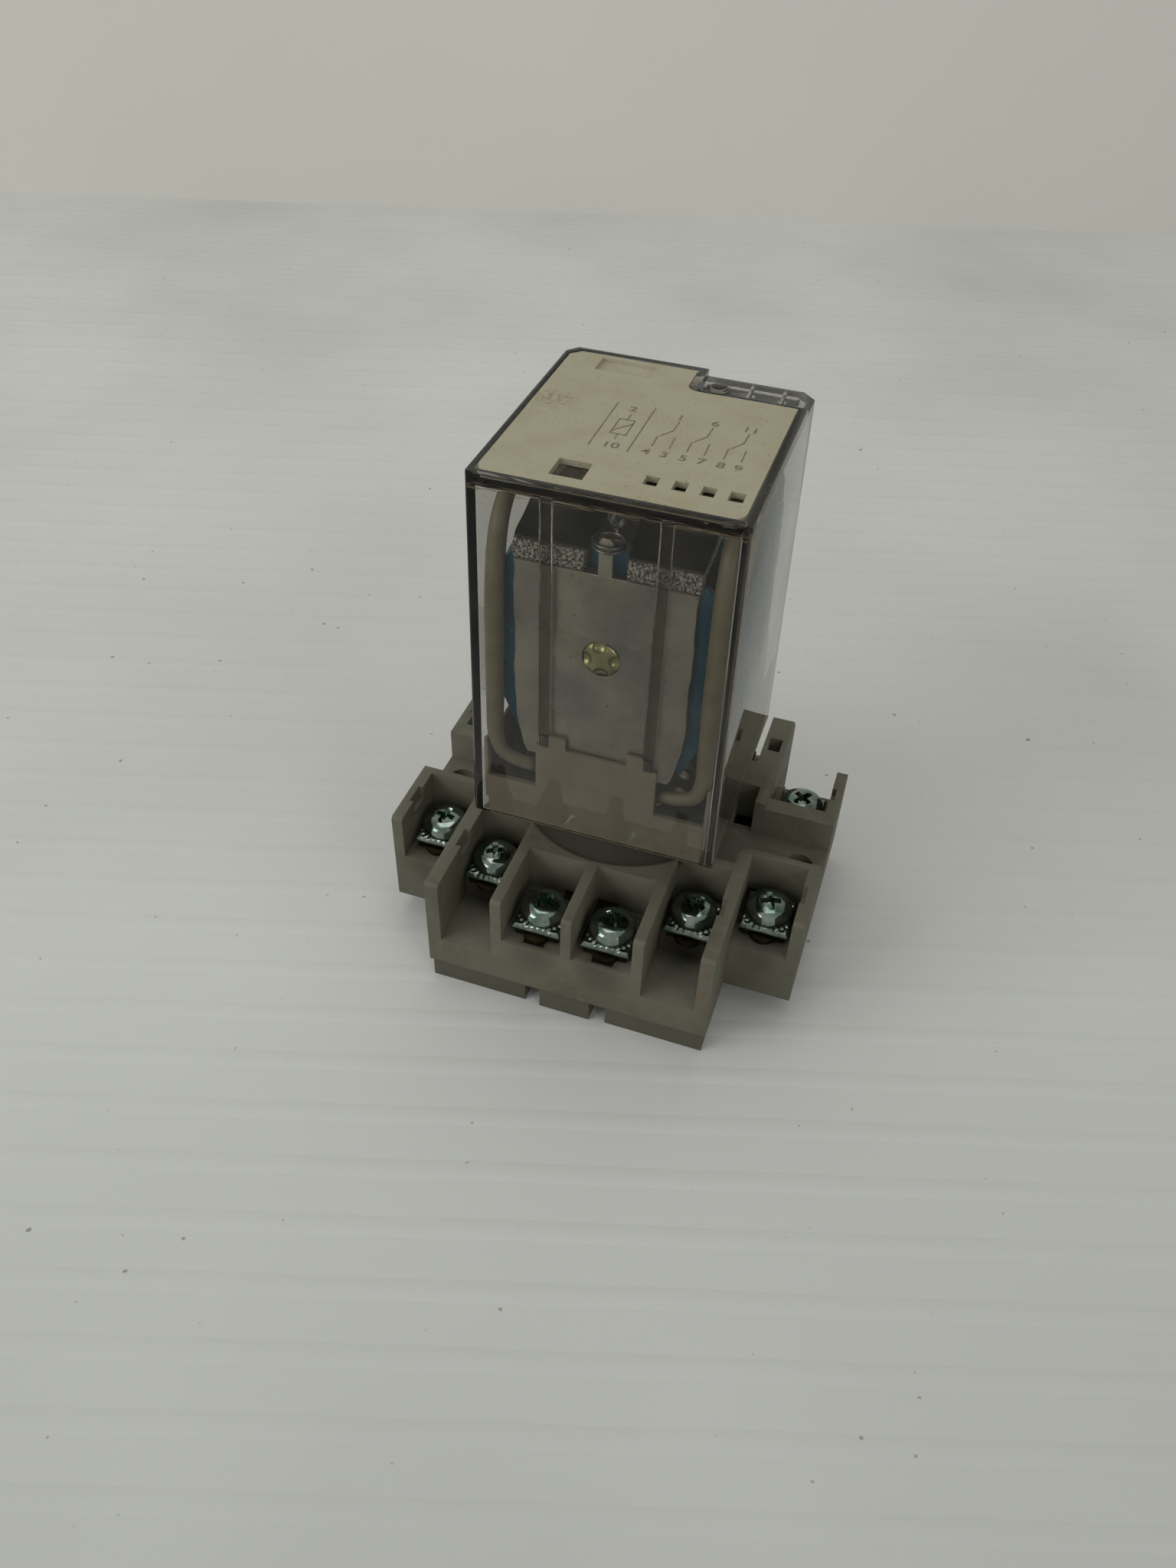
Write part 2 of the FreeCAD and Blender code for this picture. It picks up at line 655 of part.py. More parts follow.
def make_clamps_and_screws(terminals):
    """The square clamp plate and the pan-head screw of each terminal."""
    plate_z = S.floor + S.strip_thick + S.clamp_gap
    half = S.clamp_width / 2
    head = S.head_radius
    tall = S.head_height
    for index, one in enumerate(terminals, start=1):
        tag = "_%02d" % index
        plate = new_body("clamp" + tag)
        square = [(-half, -half), (half, -half), (half, half), (-half, half)]
        pad(plate, outline(plate, "square" + tag, "XY_Plane", square), S.clamp_thick)
        rim = S.clamp_thick - 0.1
        crown = S.clamp_thick + S.clamp_rise
        lathe(plate, "cone" + tag, [(0, rim), (half - 0.1, rim), (head * 0.8, crown), (0, crown)])
        hole = circle(plate, "hole" + tag, "XY_Plane", (0, 0), S.screw_radius + 0.25)
        pocket(plate, hole, 2, reverse=True)
        place(plate, one.x, one.y, plate_z)
        finish(plate, "clamp_plate" + tag)

        screw = new_body("screw" + tag)
        lathe(screw, "profile" + tag, [
            (0, -S.shank), (S.screw_radius - 0.5, -S.shank), (S.screw_radius, 0.5 - S.shank),
            (S.screw_radius, 0), (head, 0), (head, tall * 0.36), (head * 0.86, tall * 0.74),
            (head * 0.58, tall), (0, tall)])
        for turn, (wide, long) in enumerate(((0.45, 1.8), (1.8, 0.45))):
            arm = [(-long, -wide), (long, -wide), (long, wide), (-long, wide)]
            pocket(screw, outline(screw, "arm%s_%d" % (tag, turn), "XY_Plane", arm, tall + 0.5), 1.9)
        place(screw, one.x, one.y, plate_z + S.clamp_thick + S.clamp_rise + 0.05)
        finish(screw, "terminal_screw" + tag)


# ---------------------------------------------------------------- relay housing

def chamfered(half_x, half_y, corner):
    """A rectangle whose two rear corners are cut off."""
    return [
        (-half_x, -half_y), (half_x, -half_y), (half_x, half_y - corner),
        (half_x - corner, half_y), (corner - half_x, half_y), (-half_x, half_y - corner),
    ]


def cut_corner(half_x, half_y, corner):
    """The top plate's outline: a rectangle with its right rear corner cut out."""
    return [
        (-half_x, -half_y), (half_x, -half_y), (half_x, S.corner_y), (S.corner_x, S.corner_y),
        (S.corner_x, half_y), (corner - half_x, half_y), (-half_x, half_y - corner),
    ]


def front_corner(edge):
    return runs_along(edge, "z") and edge.CenterOfMass.y < -15


def inside_corner(edge):
    """The upright edge where the two sides of the cut corner meet."""
    middle = edge.CenterOfMass
    away = max(abs(middle.x - number(S.corner_x)), abs(middle.y - number(S.corner_y)))
    return runs_along(edge, "z") and away < 0.2


def make_cover():
    """The clear moulding: open below, a well and a tray on top, two guide ribs inside the front."""
    body = new_body("cover")
    wall = S.cover_wall
    corner = 1.8
    outer = chamfered(S.cover_half_width, S.cover_half_depth, corner)
    inner = chamfered(S.cover_half_width - wall, S.cover_half_depth - wall, corner * 0.8)
    pad(body, outline(body, "cover_outline", "XY_Plane", outer), S.cover_height)
    soften(body, "Fillet", 0.6, front_corner)
    depth = S.cover_height - S.label_thick - wall
    pocket(body, outline(body, "cover_inside", "XY_Plane", inner), depth, reverse=True)
    well = cut_corner(S.cover_half_width - wall, S.cover_half_depth - wall, corner * 0.8)
    pocket(body, outline(body, "cover_recess", "XY_Plane", well, S.cover_height), S.label_thick)
    soften(body, "Fillet", 1.6, inside_corner)
    x_in = S.corner_x + 1.2
    y_in = S.corner_y + 0.5
    x_out = S.cover_half_width + 1
    y_out = S.cover_half_depth + 1
    step = [(x_in, y_in), (x_out, y_in), (x_out, y_out), (x_in, y_out)]
    pocket(body, outline(body, "cover_step", "XY_Plane", step, S.cover_height), S.label_thick)
    tray = S.cover_height - S.label_thick
    for index, x in enumerate((9.1, 13.6)):
        low = y_in - 0.1
        high = S.cover_half_depth - wall
        bar = [(x, low), (x + 0.5, low), (x + 0.5, high), (x, high)]
        pad(body, outline(body, "tray_rib%d" % index, "XY_Plane", bar, tray), 0.5)
    pad(body, circle(body, "tray_post", "XY_Plane", (5.0, 15.6), 1.2, tray), 0.5)
    for side, (low, high) in enumerate(both(6.9, 8.4)):
        front = -S.cover_half_depth + wall - 0.2
        rib = [(low, front), (high, front), (high, front + 1.0), (low, front + 1.0)]
        pad(body, outline(body, "rib%d" % side, "XY_Plane", rib, 17.0), 37.4)
    place(body, 0, 0, S.relay_foot)
    finish(body, "relay_cover")


def make_label():
    """The pale plate on top of the cover: a window, four vents, a finger slot and a cut corner."""
    body = new_body("label")
    inset = S.cover_wall + 0.1
    half_x = S.cover_half_width - inset
    half_y = S.cover_half_depth - inset
    corner = 1.45
    shape = cut_corner(half_x, half_y, corner)
    shape[2:5] = [
        (half_x, S.corner_y - 0.1), (S.corner_x - 0.1, S.corner_y - 0.1), (S.corner_x - 0.1, half_y)]
    pad(body, outline(body, "label_outline", "XY_Plane", shape), S.label_thick)
    soften(body, "Fillet", 1.6, front_corner)
    soften(body, "Fillet", 1.6, inside_corner)
    holes = [((-8.2, -3.9), (-16.2, -11.9))]
    holes += [((x, x + 1.7), (-14.4, -12.1)) for x in (3.1, 6.7, 10.2, 13.6)]
    for index, ((x0, x1), (y0, y1)) in enumerate(holes):
        loop = [(x0, y0), (x1, y0), (x1, y1), (x0, y1)]
        pocket(body, outline(body, "label_hole%d" % index, "XY_Plane", loop), 3, reverse=True)
    slot = [(-12.2, 13.5), (-4.3, 13.5), (-4.3, 17.3), (-12.2, 17.3)]
    pocket(body, outline(body, "label_slot", "XY_Plane", slot, S.label_thick), 0.6)
    place(body, 0, 0, S.relay_foot + S.cover_height - S.label_thick)
    finish(body, "label_plate")


def make_relay_base(terminals):
    """The moulded base: floor, skirt, the raised front block with two ears, ribs and the spigot."""
    half_x = S.cover_half_width - S.cover_wall - 0.2
    half_y = S.cover_half_depth - S.cover_wall - 0.15
    floor = S.base_floor
    wide = (-half_x, half_x)
    pieces = [
        box("base_slab", wide, (-half_y, half_y), (S.relay_foot, floor)),
        box("front_skirt", wide, (-half_y, 1.4 - half_y), (floor - 0.5, S.relay_foot + 7)),
        box("rear_skirt", wide, (half_y - 1.2, half_y), (floor - 0.5, S.relay_foot + 7)),
        box("front_block_face", (-8.9, 8.9), (-half_y, 0.62 - half_y), (floor, S.relay_foot + 15)),
        box("yoke_stand", (-8.9, 8.9), (0.6 - half_y, -15.0), (floor - 0.5, S.yoke_foot - 0.05)),
        rod("spigot", (0, 0, S.spigot_tip), S.spigot_radius, floor - S.spigot_tip - 0.5),
        box("key", (-0.95, 0.95), (-S.spigot_radius - 1.2, 0), (S.spigot_tip, floor - 0.5)),
    ]
    for side, x in enumerate(both(4.5, 7.6)):
        pieces.append(box("ear%d" % side, x, (-half_y, 0.62 - half_y), (floor, S.relay_foot + 17)))
    for side, x in enumerate(both(half_x - 1.2, half_x)):
        pieces.append(box("side_skirt%d" % side, x, (-half_y, half_y), (floor - 0.5, S.relay_foot + 4.5)))
    for side, x in enumerate(both(S.pole_pitch / 2 - 0.5, S.pole_pitch / 2 + 0.5)):
        pieces.append(box("barrier%d" % side, x, (6.0, half_y - 1), (floor - 0.5, S.contact_z + 4)))
    holes = []
    for index, one in enumerate(terminals):
        x, y = one.pin
        holes.append(rod("pin_hole%d" % index, (x, y, S.relay_foot - 1), S.pin_radius + 0.02, 5))
    for side in (-1, 1):
        tall = (S.relay_foot - 1, S.relay_foot + 20)
        holes.append(corner_bevel("base_corner%d" % (side + 1), side * half_x, half_y, tall, 1.7))
    finish(cut("base_moulding", fuse("base_solid", pieces), holes), "relay_base")


def make_pins(terminals):
    """Eleven plug pins with tapered tips."""
    pins = []
    taper = 0.8
    for index, one in enumerate(terminals):
        x, y = one.pin
        tip = doc.addObject("Part::Cone", "pin_tip%d" % index)
        bind(tip, "Radius1", S.pin_radius * 0.6)
        bind(tip, "Radius2", S.pin_radius)
        bind(tip, "Height", taper)
        place(tip, x, y, S.pin_tip)
        start = S.pin_tip + taper
        shaft = rod("pin_shaft%d" % index, (x, y, start), S.pin_radius, S.base_floor - start)
        pins.append(fuse("pin%d" % index, [tip, shaft]))
    finish(group("pins", pins), "plug_pins")


# ---------------------------------------------------------------- relay mechanism

def make_yoke():
    """The steel frame: an angle bent from one plate, notched at the bend for the spring's tab."""
    body = new_body("yoke_body")
    face = S.yoke_face
    back = S.yoke_face + S.yoke_thick
    under = S.yoke_top - S.yoke_thick
    angle = [
        (face, S.yoke_foot), (back, S.yoke_foot), (back, under), (S.pole_face - 0.05, under),
        (S.pole_face - 0.05, S.yoke_top), (face, S.yoke_top),
    ]
    pad(body, outline(body, "angle", "YZ_Plane", angle), S.yoke_half_width * 2, middle=True)

    def bend_line(edge, y, z):
        return runs_along(edge, "x") and (edge.CenterOfMass - Vector(0, number(y), number(z))).Length < 0.1

    soften(body, "Fillet", 2.4, lambda edge: bend_line(edge, face, S.yoke_top))
    soften(body, "Fillet", 0.6, lambda edge: bend_line(edge, back, under))
    edge = S.yoke_half_width
    for side in (-1, 1):
        taper = [
            (side * (edge + 1), S.yoke_foot - 1), (side * (edge - 2.4), S.yoke_foot - 1),
            (side * (edge - 1.4), S.yoke_foot + 1.2),
            (side * edge, S.yoke_foot + 8),
            (side * (edge + 1), S.yoke_foot + 8),
        ]
        name = "yoke_taper%d" % (side + 1)
        pocket(body, outline(body, name, "XZ_Plane", taper, 1 - face), 4)
    notch = 2.9
    rear = face + 3.4
    corners = [(-notch, face - 1), (notch, face - 1), (notch, rear), (-notch, rear)]
    pocket(body, outline(body, "notch", "XY_Plane", corners, S.yoke_top + 1), 4.5)
    half = 0.95
    tab = [
        (-half, S.yoke_top - 4), (half, S.yoke_top - 4), (half, S.yoke_top + 1.4),
        (half - 0.5, S.yoke_top + 1.9), (0.5 - half, S.yoke_top + 1.9), (-half, S.yoke_top + 1.4),
    ]
    pad(body, outline(body, "tab", "XZ_Plane", tab, -face), 0.9, reverse=True)
    hole = circle(body, "core_hole", "XZ_Plane", (0, S.coil_z), 2.6, -face + 1)
    pocket(body, hole, 4)
    finish(body, "yoke")


def make_core():
    """The iron core, lathe turned, staked through the yoke, with its pole face at the back."""
    body = new_body("core")
    shoulder = S.yoke_thick + 0.05
    end = S.pole_face - S.yoke_face
    lathe(body, "core_profile", [
        (0, -0.45), (2.0, -0.45), (2.6, -0.1), (2.55, 0), (2.55, shoulder), (4.5, shoulder),
        (4.5, end - 1.4), (6.4, end - 1.4), (6.4, end), (0, end)])
    body.Placement = FreeCAD.Placement(Vector(), TURN["y"])
    place(body, 0, S.yoke_face, S.coil_z)
    finish(body, "coil_core")


def make_bobbin():
    """The blue coil former: a tube with two flanges, joined by cheeks along both sides."""
    body = new_body("bobbin")
    front = S.yoke_face + S.yoke_thick + 0.2
    rear = S.pole_face - 1.5
    foot = S.relay_foot + 14
    top = S.relay_foot + 44.5
    edge = 14.8
    wall = 1.0
    flange = [
        (-edge, foot + 7), (3.2 - edge, foot), (edge - 3.2, foot), (edge, foot + 7),
        (edge, top - 2), (edge - 2, top), (2 - edge, top), (-edge, top - 2),
    ]
    pad(body, outline(body, "front_flange", "XZ_Plane", flange, -front), wall, reverse=True)
    pad(body, circle(body, "coil_tube", "XZ_Plane", (0, S.coil_z), 5.6, -front), rear - front, reverse=True)
    pad(body, outline(body, "rear_flange", "XZ_Plane", flange, -rear), wall)
    for side, (low, high) in enumerate(both(edge - wall, edge)):
        cheek = [(low, foot + 7), (high, foot + 7), (high, top - 2), (low, top - 2)]
        pad(body, outline(body, "cheek%d" % side, "XZ_Plane", cheek, -front), rear - front, reverse=True)
    lug = 2.7
    guard = [(-lug, top - 1), (lug, top - 1), (lug, S.yoke_top - 0.6), (-lug, S.yoke_top - 0.6)]
    pad(body, outline(body, "spring_guard", "XZ_Plane", guard, -front), wall, reverse=True)
    pocket(body, circle(body, "tube_bore", "XZ_Plane", (0, S.coil_z), 4.6, -front + 1), 20)
    finish(body, "coil_bobbin")


def make_winding():
    """The wound copper with its wrap, a thick tube between the flanges."""
    front = S.yoke_face + S.yoke_thick + 1.3
    length = S.pole_face - 2.6 - front
    wound = rod("wound", (0, front, S.coil_z), 12.9, length, "y")
    inside = rod("wound_inside", (0, front - 1, S.coil_z), 5.7, length + 2, "y")
    finish(cut("winding", wound, [inside]), "coil_winding")


def swing(item):
    """Stands a piece of the armature at the hinge, swung open by its rest angle.

    Such a piece is drawn with the armature shut and the hinge line as its own X axis.
    """
    item.Placement = FreeCAD.Placement(Vector(), FreeCAD.Rotation(Vector(1, 0, 0), 1))
    bind(item, "Placement.Rotation.Angle", S.open_angle)
    place(item, 0, S.pole_face, S.yoke_top)


ARMATURE_THICK = 1.6
BLADE_Y = 8.2
BLADE_THICK = 0.35


def make_armature():
    """The hinged iron plate, with a lug above the hinge line for the return spring."""
    body = new_body("armature_body")
    foot = 48.5 - S.yoke_top
    shape = [
        (-9.5, foot + 2), (-7.5, foot), (7.5, foot), (9.5, foot + 2), (9.5, 1.0), (2.2, 1.0),
        (2.2, 3.6), (-2.2, 3.6), (-2.2, 1.0), (-9.5, 1.0),
    ]
    pad(body, outline(body, "armature_shape", "XZ_Plane", shape, -0.05), ARMATURE_THICK, reverse=True)
    pocket(body, circle(body, "lug_hole", "XZ_Plane", (0, 2.4), 0.5, 1), 4)
    swing(body)
    finish(body, "armature")


def make_carrier():
    """The insulating bridge on the armature's back that carries the three moving blades."""
    y0 = 0.05 + ARMATURE_THICK
    whole = fuse("carrier_solid", [
        box("carrier_bar", (-13.4, 13.4), (y0 + 2.4, BLADE_Y), (-15.0, -5.0)),
        box("carrier_foot", (-7.5, 7.5), (y0, y0 + 2.6), (-13.5, -6.5)),
        box("carrier_wall0", (-5.75, -4.75), (BLADE_Y - 1, BLADE_Y + 2.6), (-17.0, -4.0)),
        box("carrier_wall1", (4.75, 5.75), (BLADE_Y - 1, BLADE_Y + 2.6), (-17.0, -4.0)),
    ])
    swing(whole)
    finish(whole, "contact_carrier")


def make_moving_contacts():
    """Three spring blades with a double-faced contact near the lower end of each."""
    for name, side in (("left", -1), ("centre", 0), ("right", 1)):
        body = new_body("blade_" + name)
        x = S.pole_pitch * side
        low = S.contact_z - S.yoke_top - 2.4
        shape = [
            (x - 2.1, low + 0.8), (x - 1.3, low), (x + 1.3, low), (x + 2.1, low + 0.8),
            (x + 2.1, -2.0), (x + 1.2, -1.0), (x - 1.2, -1.0), (x - 2.1, -2.0),
        ]
        level = -BLADE_Y
        pad(body, outline(body, "blade_shape_" + name, "XZ_Plane", shape, level), BLADE_THICK, reverse=True)
        tip = circle(body, "tip_" + name, "XZ_Plane", (x, S.contact_z - S.yoke_top), 1.6, level + 0.8)
        pad(body, tip, 1.6 + BLADE_THICK, reverse=True)
        swing(body)
        finish(body, "moving_contact_" + name)


def make_fixed_contacts():
    """The contacts that the blades meet: open ones in front of them and closed ones behind."""
    turn = math.radians(number(S.open_angle))
    arm = number(S.yoke_top - S.contact_z)
    shut_front = S.pole_face + (BLADE_Y - 0.8)
    rest_back = S.pole_face + (BLADE_Y + BLADE_THICK + 0.8) * math.cos(turn) + arm * math.sin(turn)
    for label, face, way in (("open", shut_front - 0.08, -1), ("closed", rest_back + 0.15, 1)):
        pieces = []
        for index, side in enumerate((-1, 0, 1)):
            x = S.pole_pitch * side
            tag = "_%s%d" % (label, index)
            wide = (x - 2.0, x + 2.0)
            near = face + way * 0.7
            upright = ordered(near, face + way * 1.1)
            strip = box("fixed_strip" + tag, wide, upright, (S.base_floor, S.contact_z + 2.2))
            tread = ordered(near, face + way * 3.2)
            foot = box("fixed_foot" + tag, wide, tread, (S.base_floor, S.base_floor + 0.4))
            low, high = ordered(face, face + way * 0.9)
            tip = rod("fixed_tip" + tag, (x, low, S.contact_z), 1.6, high - low, "y")
            pieces.append(fuse("fixed" + tag, [strip, foot, tip]))
        finish(group("fixed_" + label, pieces), "fixed_contacts_" + label)


def make_return_spring():
    """The close-wound spring over the yoke, from the tab at the bend to the armature's lug."""
    axis_z = S.yoke_top + 2.3
    start = -12.7
    length = 11.4
    outer = 1.5
    inner = 1.1
    eye_y = S.yoke_face + 1.7
    eye_z = S.yoke_top + 0.1
    eye_radius = 2.4
    wire_thick = outer - inner
    coil = rod("coil_body", (0, start, axis_z), outer, length, "y")
    inside = rod("coil_inside", (0, start - 1, axis_z), inner, length + 2, "y")
    tube = cut("coil_hollow", coil, [inside])
    half = wire_thick / 2
    across = (-half, half)
    crest = (axis_z + inner, axis_z + outer)
    hook = box("hook_wire", across, (start + length - 0.5, 1.0), crest)
    disc = rod("eye_outer", (0, eye_y, eye_z), eye_radius, wire_thick)
    ring = cut("eye", disc, [rod("eye_inner", (0, eye_y, eye_z - 1), eye_radius - wire_thick, 3)])
    back = eye_y + eye_radius - wire_thick
    riser = box("eye_riser", across, (back, back + wire_thick), (eye_z, axis_z - inner))
    arm = box("eye_arm", across, (back, start + 0.3), (axis_z - outer, axis_z - inner))
    finish(fuse("spring_whole", [tube, hook, ring, riser, arm]), "return_spring")


# ---------------------------------------------------------------- wires

def wire(label, points, radius):
    """A round wire: straight runs joined by arcs, each arc tangent to the runs on both sides."""
    spots = [Vector(*[number(value) for value in point]) for point in points]
    pieces = []
    length = 0
    start = spots[0]
    for before, here, after in zip(spots, spots[1:], spots[2:]):
        first = here - before
        second = after - here
        trim = 0.45 * min(first.Length, second.Length)
        inward = first / first.Length
        outward = second / second.Length
        leave = here - inward * trim
        angle = first.getAngle(second)
        bend = trim / math.tan(angle / 2)
        axis = inward.cross(outward)
        to_centre = axis.cross(inward)
        to_centre.normalize()
        centre = leave + to_centre * bend
        section = Part.Face(Part.Wire([Part.Circle(leave, inward, radius).toShape()]))
        pieces.append(Part.makeCylinder(radius, (leave - start).Length, start, inward))
        pieces.append(section.revolve(centre, axis, math.degrees(angle)))
        length += (leave - start).Length + bend * angle
        start = here + outward * trim
    last = spots[-1] - start
    pieces.append(Part.makeCylinder(radius, last.Length, start, last))
    length += last.Length
    solid = pieces[0].multiFuse(pieces[1:])
    expected = math.pi * radius ** 2 * length
    if len(solid.Solids) != 1 or abs(solid.Volume - expected) > 0.02 * expected:
        raise RuntimeError(label + ": the wire is not one even solid")
    return solid.Solids[0]


def feature(name, shape):
    item = doc.addObject("Part::Feature", name)
    item.Shape = shape
    return item


def make_pigtails():
    """The flexible leads from the moving blades to the base."""
    radius = 1.1
    lug = number(S.yoke_top) + 0.9
    lift = number(S.relay_foot)
    for label, side in (("pigtail_left", -1), ("pigtail_right", 1)):
        drop = 11.6 if side < 0 else 10.2
        route = [
            (side * 10.5, 11.2, lug), (side * 10.9, 10.0, lug + 3.2), (side * 14.2, 1.5, lug + 3.0),
            (side * 15.2, -10.5, lug + 2.8), (side * 15.2, -16.95, lug - 2.5),
            (side * 15.2, -16.95, lift + 22), (side * 14.0, -16.0, lift + drop),
            (side * 10.2, -12.8, lift + drop - 2.6), (side * 8.0, -10.2, lift + 4.6),
        ]
        finish(feature(label + "_solid", wire(label, route, radius)), label)
    back = 15.7
    route = [
        (0.0, 11.4, lug), (0.0, 12.0, lug + 3.2), (0.0, back, lug + 2.6), (0.1, back, lug - 4),
        (0.7, back, lift + 20), (0.0, back, lift + 4.0),
    ]
    finish(feature("pigtail_centre_solid", wire("pigtail_centre", route, 0.9)), "pigtail_centre")


def make_coil_leads():
    """The two thin leads from the winding down to their pins."""
    leads = []
    for side in (-1, 1):
        route = [
            (side * 3.6, -12.8, 47.4), (side * 3.5, -12.6, 41.0),
            (side * 2.9, -9.6, 36.5), (side * 2.68, -9.1, 31.7),
        ]
        leads.append(feature("lead%d" % (side + 1), wire("coil_lead", route, 0.35)))
    finish(group("leads", leads), "coil_leads")


# ---------------------------------------------------------------- assembly

TERMINALS = make_terminals()
make_socket_body(TERMINALS)
make_base_plate()
make_base_screws()
make_latch()
make_latch_spring()
make_strips(TERMINALS)
make_clamps_and_screws(TERMINALS)
make_cover()
make_label()
make_relay_base(TERMINALS)
make_pins(TERMINALS)
make_yoke()
make_core()
make_bobbin()
make_winding()
make_armature()
make_carrier()
make_moving_contacts()
make_fixed_contacts()
make_return_spring()
make_pigtails()
make_coil_leads()
doc.recompute()

for item in doc.Objects:
    if "Invalid" in item.State or "Error" in item.State:
        raise RuntimeError("%s is in state %s" % (item.Name, item.State))
for item in finished:
    if item.Shape.isNull() or not item.Shape.isValid():
        raise RuntimeError(item.Label + " has no valid shape")

os.makedirs("parts", exist_ok=True)
for item in finished:
    item.Shape.exportStep("parts/%s.step" % item.Label)
    print("%-24s %2d solid(s) %9.1f mm3" % (item.Label, len(item.Shape.Solids), item.Shape.Volume))
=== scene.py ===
# %% [markdown]
# # A plug-in relay on its screw-terminal socket
#
# The frame is the working model: every solid at its real size, with the joints that move it.
# This lesson dresses it. Mouldings get soft edges, screws and springs get their real shape,
# and each surface gets a finish made of shader nodes. Lengths are in metres, and MM is one
# millimetre, so sizes read as they would on a drawing.

import math

import bpy
from mathutils import Matrix, Vector


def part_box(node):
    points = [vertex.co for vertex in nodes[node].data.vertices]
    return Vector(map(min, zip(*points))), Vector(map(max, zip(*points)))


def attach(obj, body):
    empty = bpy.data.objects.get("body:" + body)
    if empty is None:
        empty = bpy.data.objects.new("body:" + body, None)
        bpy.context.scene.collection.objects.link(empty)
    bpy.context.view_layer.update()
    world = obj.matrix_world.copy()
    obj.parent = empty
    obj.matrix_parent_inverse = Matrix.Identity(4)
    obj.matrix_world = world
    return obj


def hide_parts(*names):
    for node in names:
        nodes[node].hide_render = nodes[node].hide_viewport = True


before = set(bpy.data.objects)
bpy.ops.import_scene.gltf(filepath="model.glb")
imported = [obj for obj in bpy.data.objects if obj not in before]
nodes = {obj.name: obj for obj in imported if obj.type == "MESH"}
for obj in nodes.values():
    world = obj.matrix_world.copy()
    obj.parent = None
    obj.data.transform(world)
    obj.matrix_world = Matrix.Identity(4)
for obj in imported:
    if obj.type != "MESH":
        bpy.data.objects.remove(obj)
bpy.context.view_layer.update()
MM = 0.001
TERMINALS = ["%02d" % number for number in range(1, 12)]

# %% [markdown]
# An operator acts on whatever is selected, and loading leaves every node selected. So each
# step first makes one piece the only selected one. These few helpers wrap the operators that
# nearly every piece needs: add a primitive, press its place into the mesh, apply a modifier.

# %% Helpers for selecting and shaping
def only(*pieces):
    """Makes these pieces the selected ones, and the last of them the active one."""
    bpy.ops.object.select_all(action="DESELECT")
    for piece in pieces:
        piece.select_set(True)
    bpy.context.view_layer.objects.active = pieces[-1]


def add(shape, name, **settings):
    """Adds a mesh primitive by its operator's short name."""
    bpy.ops.object.select_all(action="DESELECT")
    getattr(bpy.ops.mesh, "primitive_" + shape + "_add")(**settings)
    piece = bpy.context.object
    piece.name = name
    piece.data.name = name
    return piece


def settle(piece):
    """Presses the object's place, turn and scale into its mesh."""
    only(piece)
    bpy.ops.object.transform_apply(location=True, rotation=True, scale=True)
    return piece


def apply(piece, kind, **settings):
    """Adds a modifier, sets it up and applies it."""
    modifier = piece.modifiers.new(kind, kind)
    for name, value in settings.items():
        setattr(modifier, name, value)
    only(piece)
    bpy.ops.object.modifier_apply(modifier=modifier.name)


def carve(piece, cutter, operation="DIFFERENCE"):
    """Takes the cutter's shape out of the piece, or joins the two as one skin."""
    apply(piece, "BOOLEAN", object=cutter, operation=operation, solver="EXACT")
    bpy.data.objects.remove(cutter)


def edit(piece, mode, test):
    """Opens edit mode with the faces or edges selected that pass the test, and counts them."""
    only(piece)
    for part in (piece.data.polygons, piece.data.edges, piece.data.vertices):
        part.foreach_set("select", [False] * len(part))
    items = piece.data.polygons if mode == "FACE" else piece.data.edges
    chosen = [item for item in items if test(item)]
    for item in chosen:
        item.select = True
    bpy.ops.object.mode_set(mode="EDIT")
    bpy.ops.mesh.select_mode(type=mode)
    return len(chosen)


def close():
    """Leaves edit mode."""
    bpy.ops.object.mode_set(mode="OBJECT")


def join(name, pieces):
    """Joins pieces into one object."""
    only(*pieces)
    bpy.ops.object.join()
    whole = bpy.context.object
    whole.name = name
    whole.data.name = name
    return whole


def copy_of(piece, name, move=(0, 0, 0), turn=0.0):
    """A copy with its own mesh, turned about Z and then moved."""
    twin = bpy.data.objects.new(name, piece.data.copy())
    bpy.context.scene.collection.objects.link(twin)
    twin.data.transform(Matrix.Translation(Vector(move)) @ Matrix.Rotation(turn, 4, "Z"))
    return twin


def smooth(piece, degrees=35):
    """Shades curved skins smooth and leaves sharp edges sharp."""
    only(piece)
    bpy.ops.object.shade_smooth_by_angle(angle=math.radians(degrees))


# %% [markdown]
# ## Floor, backdrop and camera
#
# The object stands on a pale board that meets a pale wall behind it. The camera looks down
# from the front, a little to the right, with the slight roll of a camera held in the hand. Its
# place is worked out from two angles and a distance, which are easier to think about than
# three coordinates.

# %% The camera
AZIMUTH = math.radians(17.32)
ELEVATION = math.radians(42.68)
ROLL = math.radians(2.14)
DISTANCE = 194.18 * MM
TARGET = Vector((-4.116, -8.402, 29.0)) * MM
SENSOR = 36
LENS = 28.85

away = Vector((math.sin(AZIMUTH), -math.cos(AZIMUTH), 0)) * math.cos(ELEVATION)
away.z = math.sin(ELEVATION)
bpy.ops.object.camera_add(location=TARGET + away * DISTANCE)
camera = bpy.context.object
look = (-away).to_track_quat("-Z", "Y").to_matrix().to_4x4()
camera.matrix_world = Matrix.Translation(camera.location) @ look @ Matrix.Rotation(ROLL, 4, "Z")
camera.data.sensor_fit = "VERTICAL"
camera.data.sensor_height = SENSOR
camera.data.lens = LENS
camera.data.clip_start = 0.01
bpy.context.scene.camera = camera
print("camera at", [round(value / MM, 1) for value in camera.location])

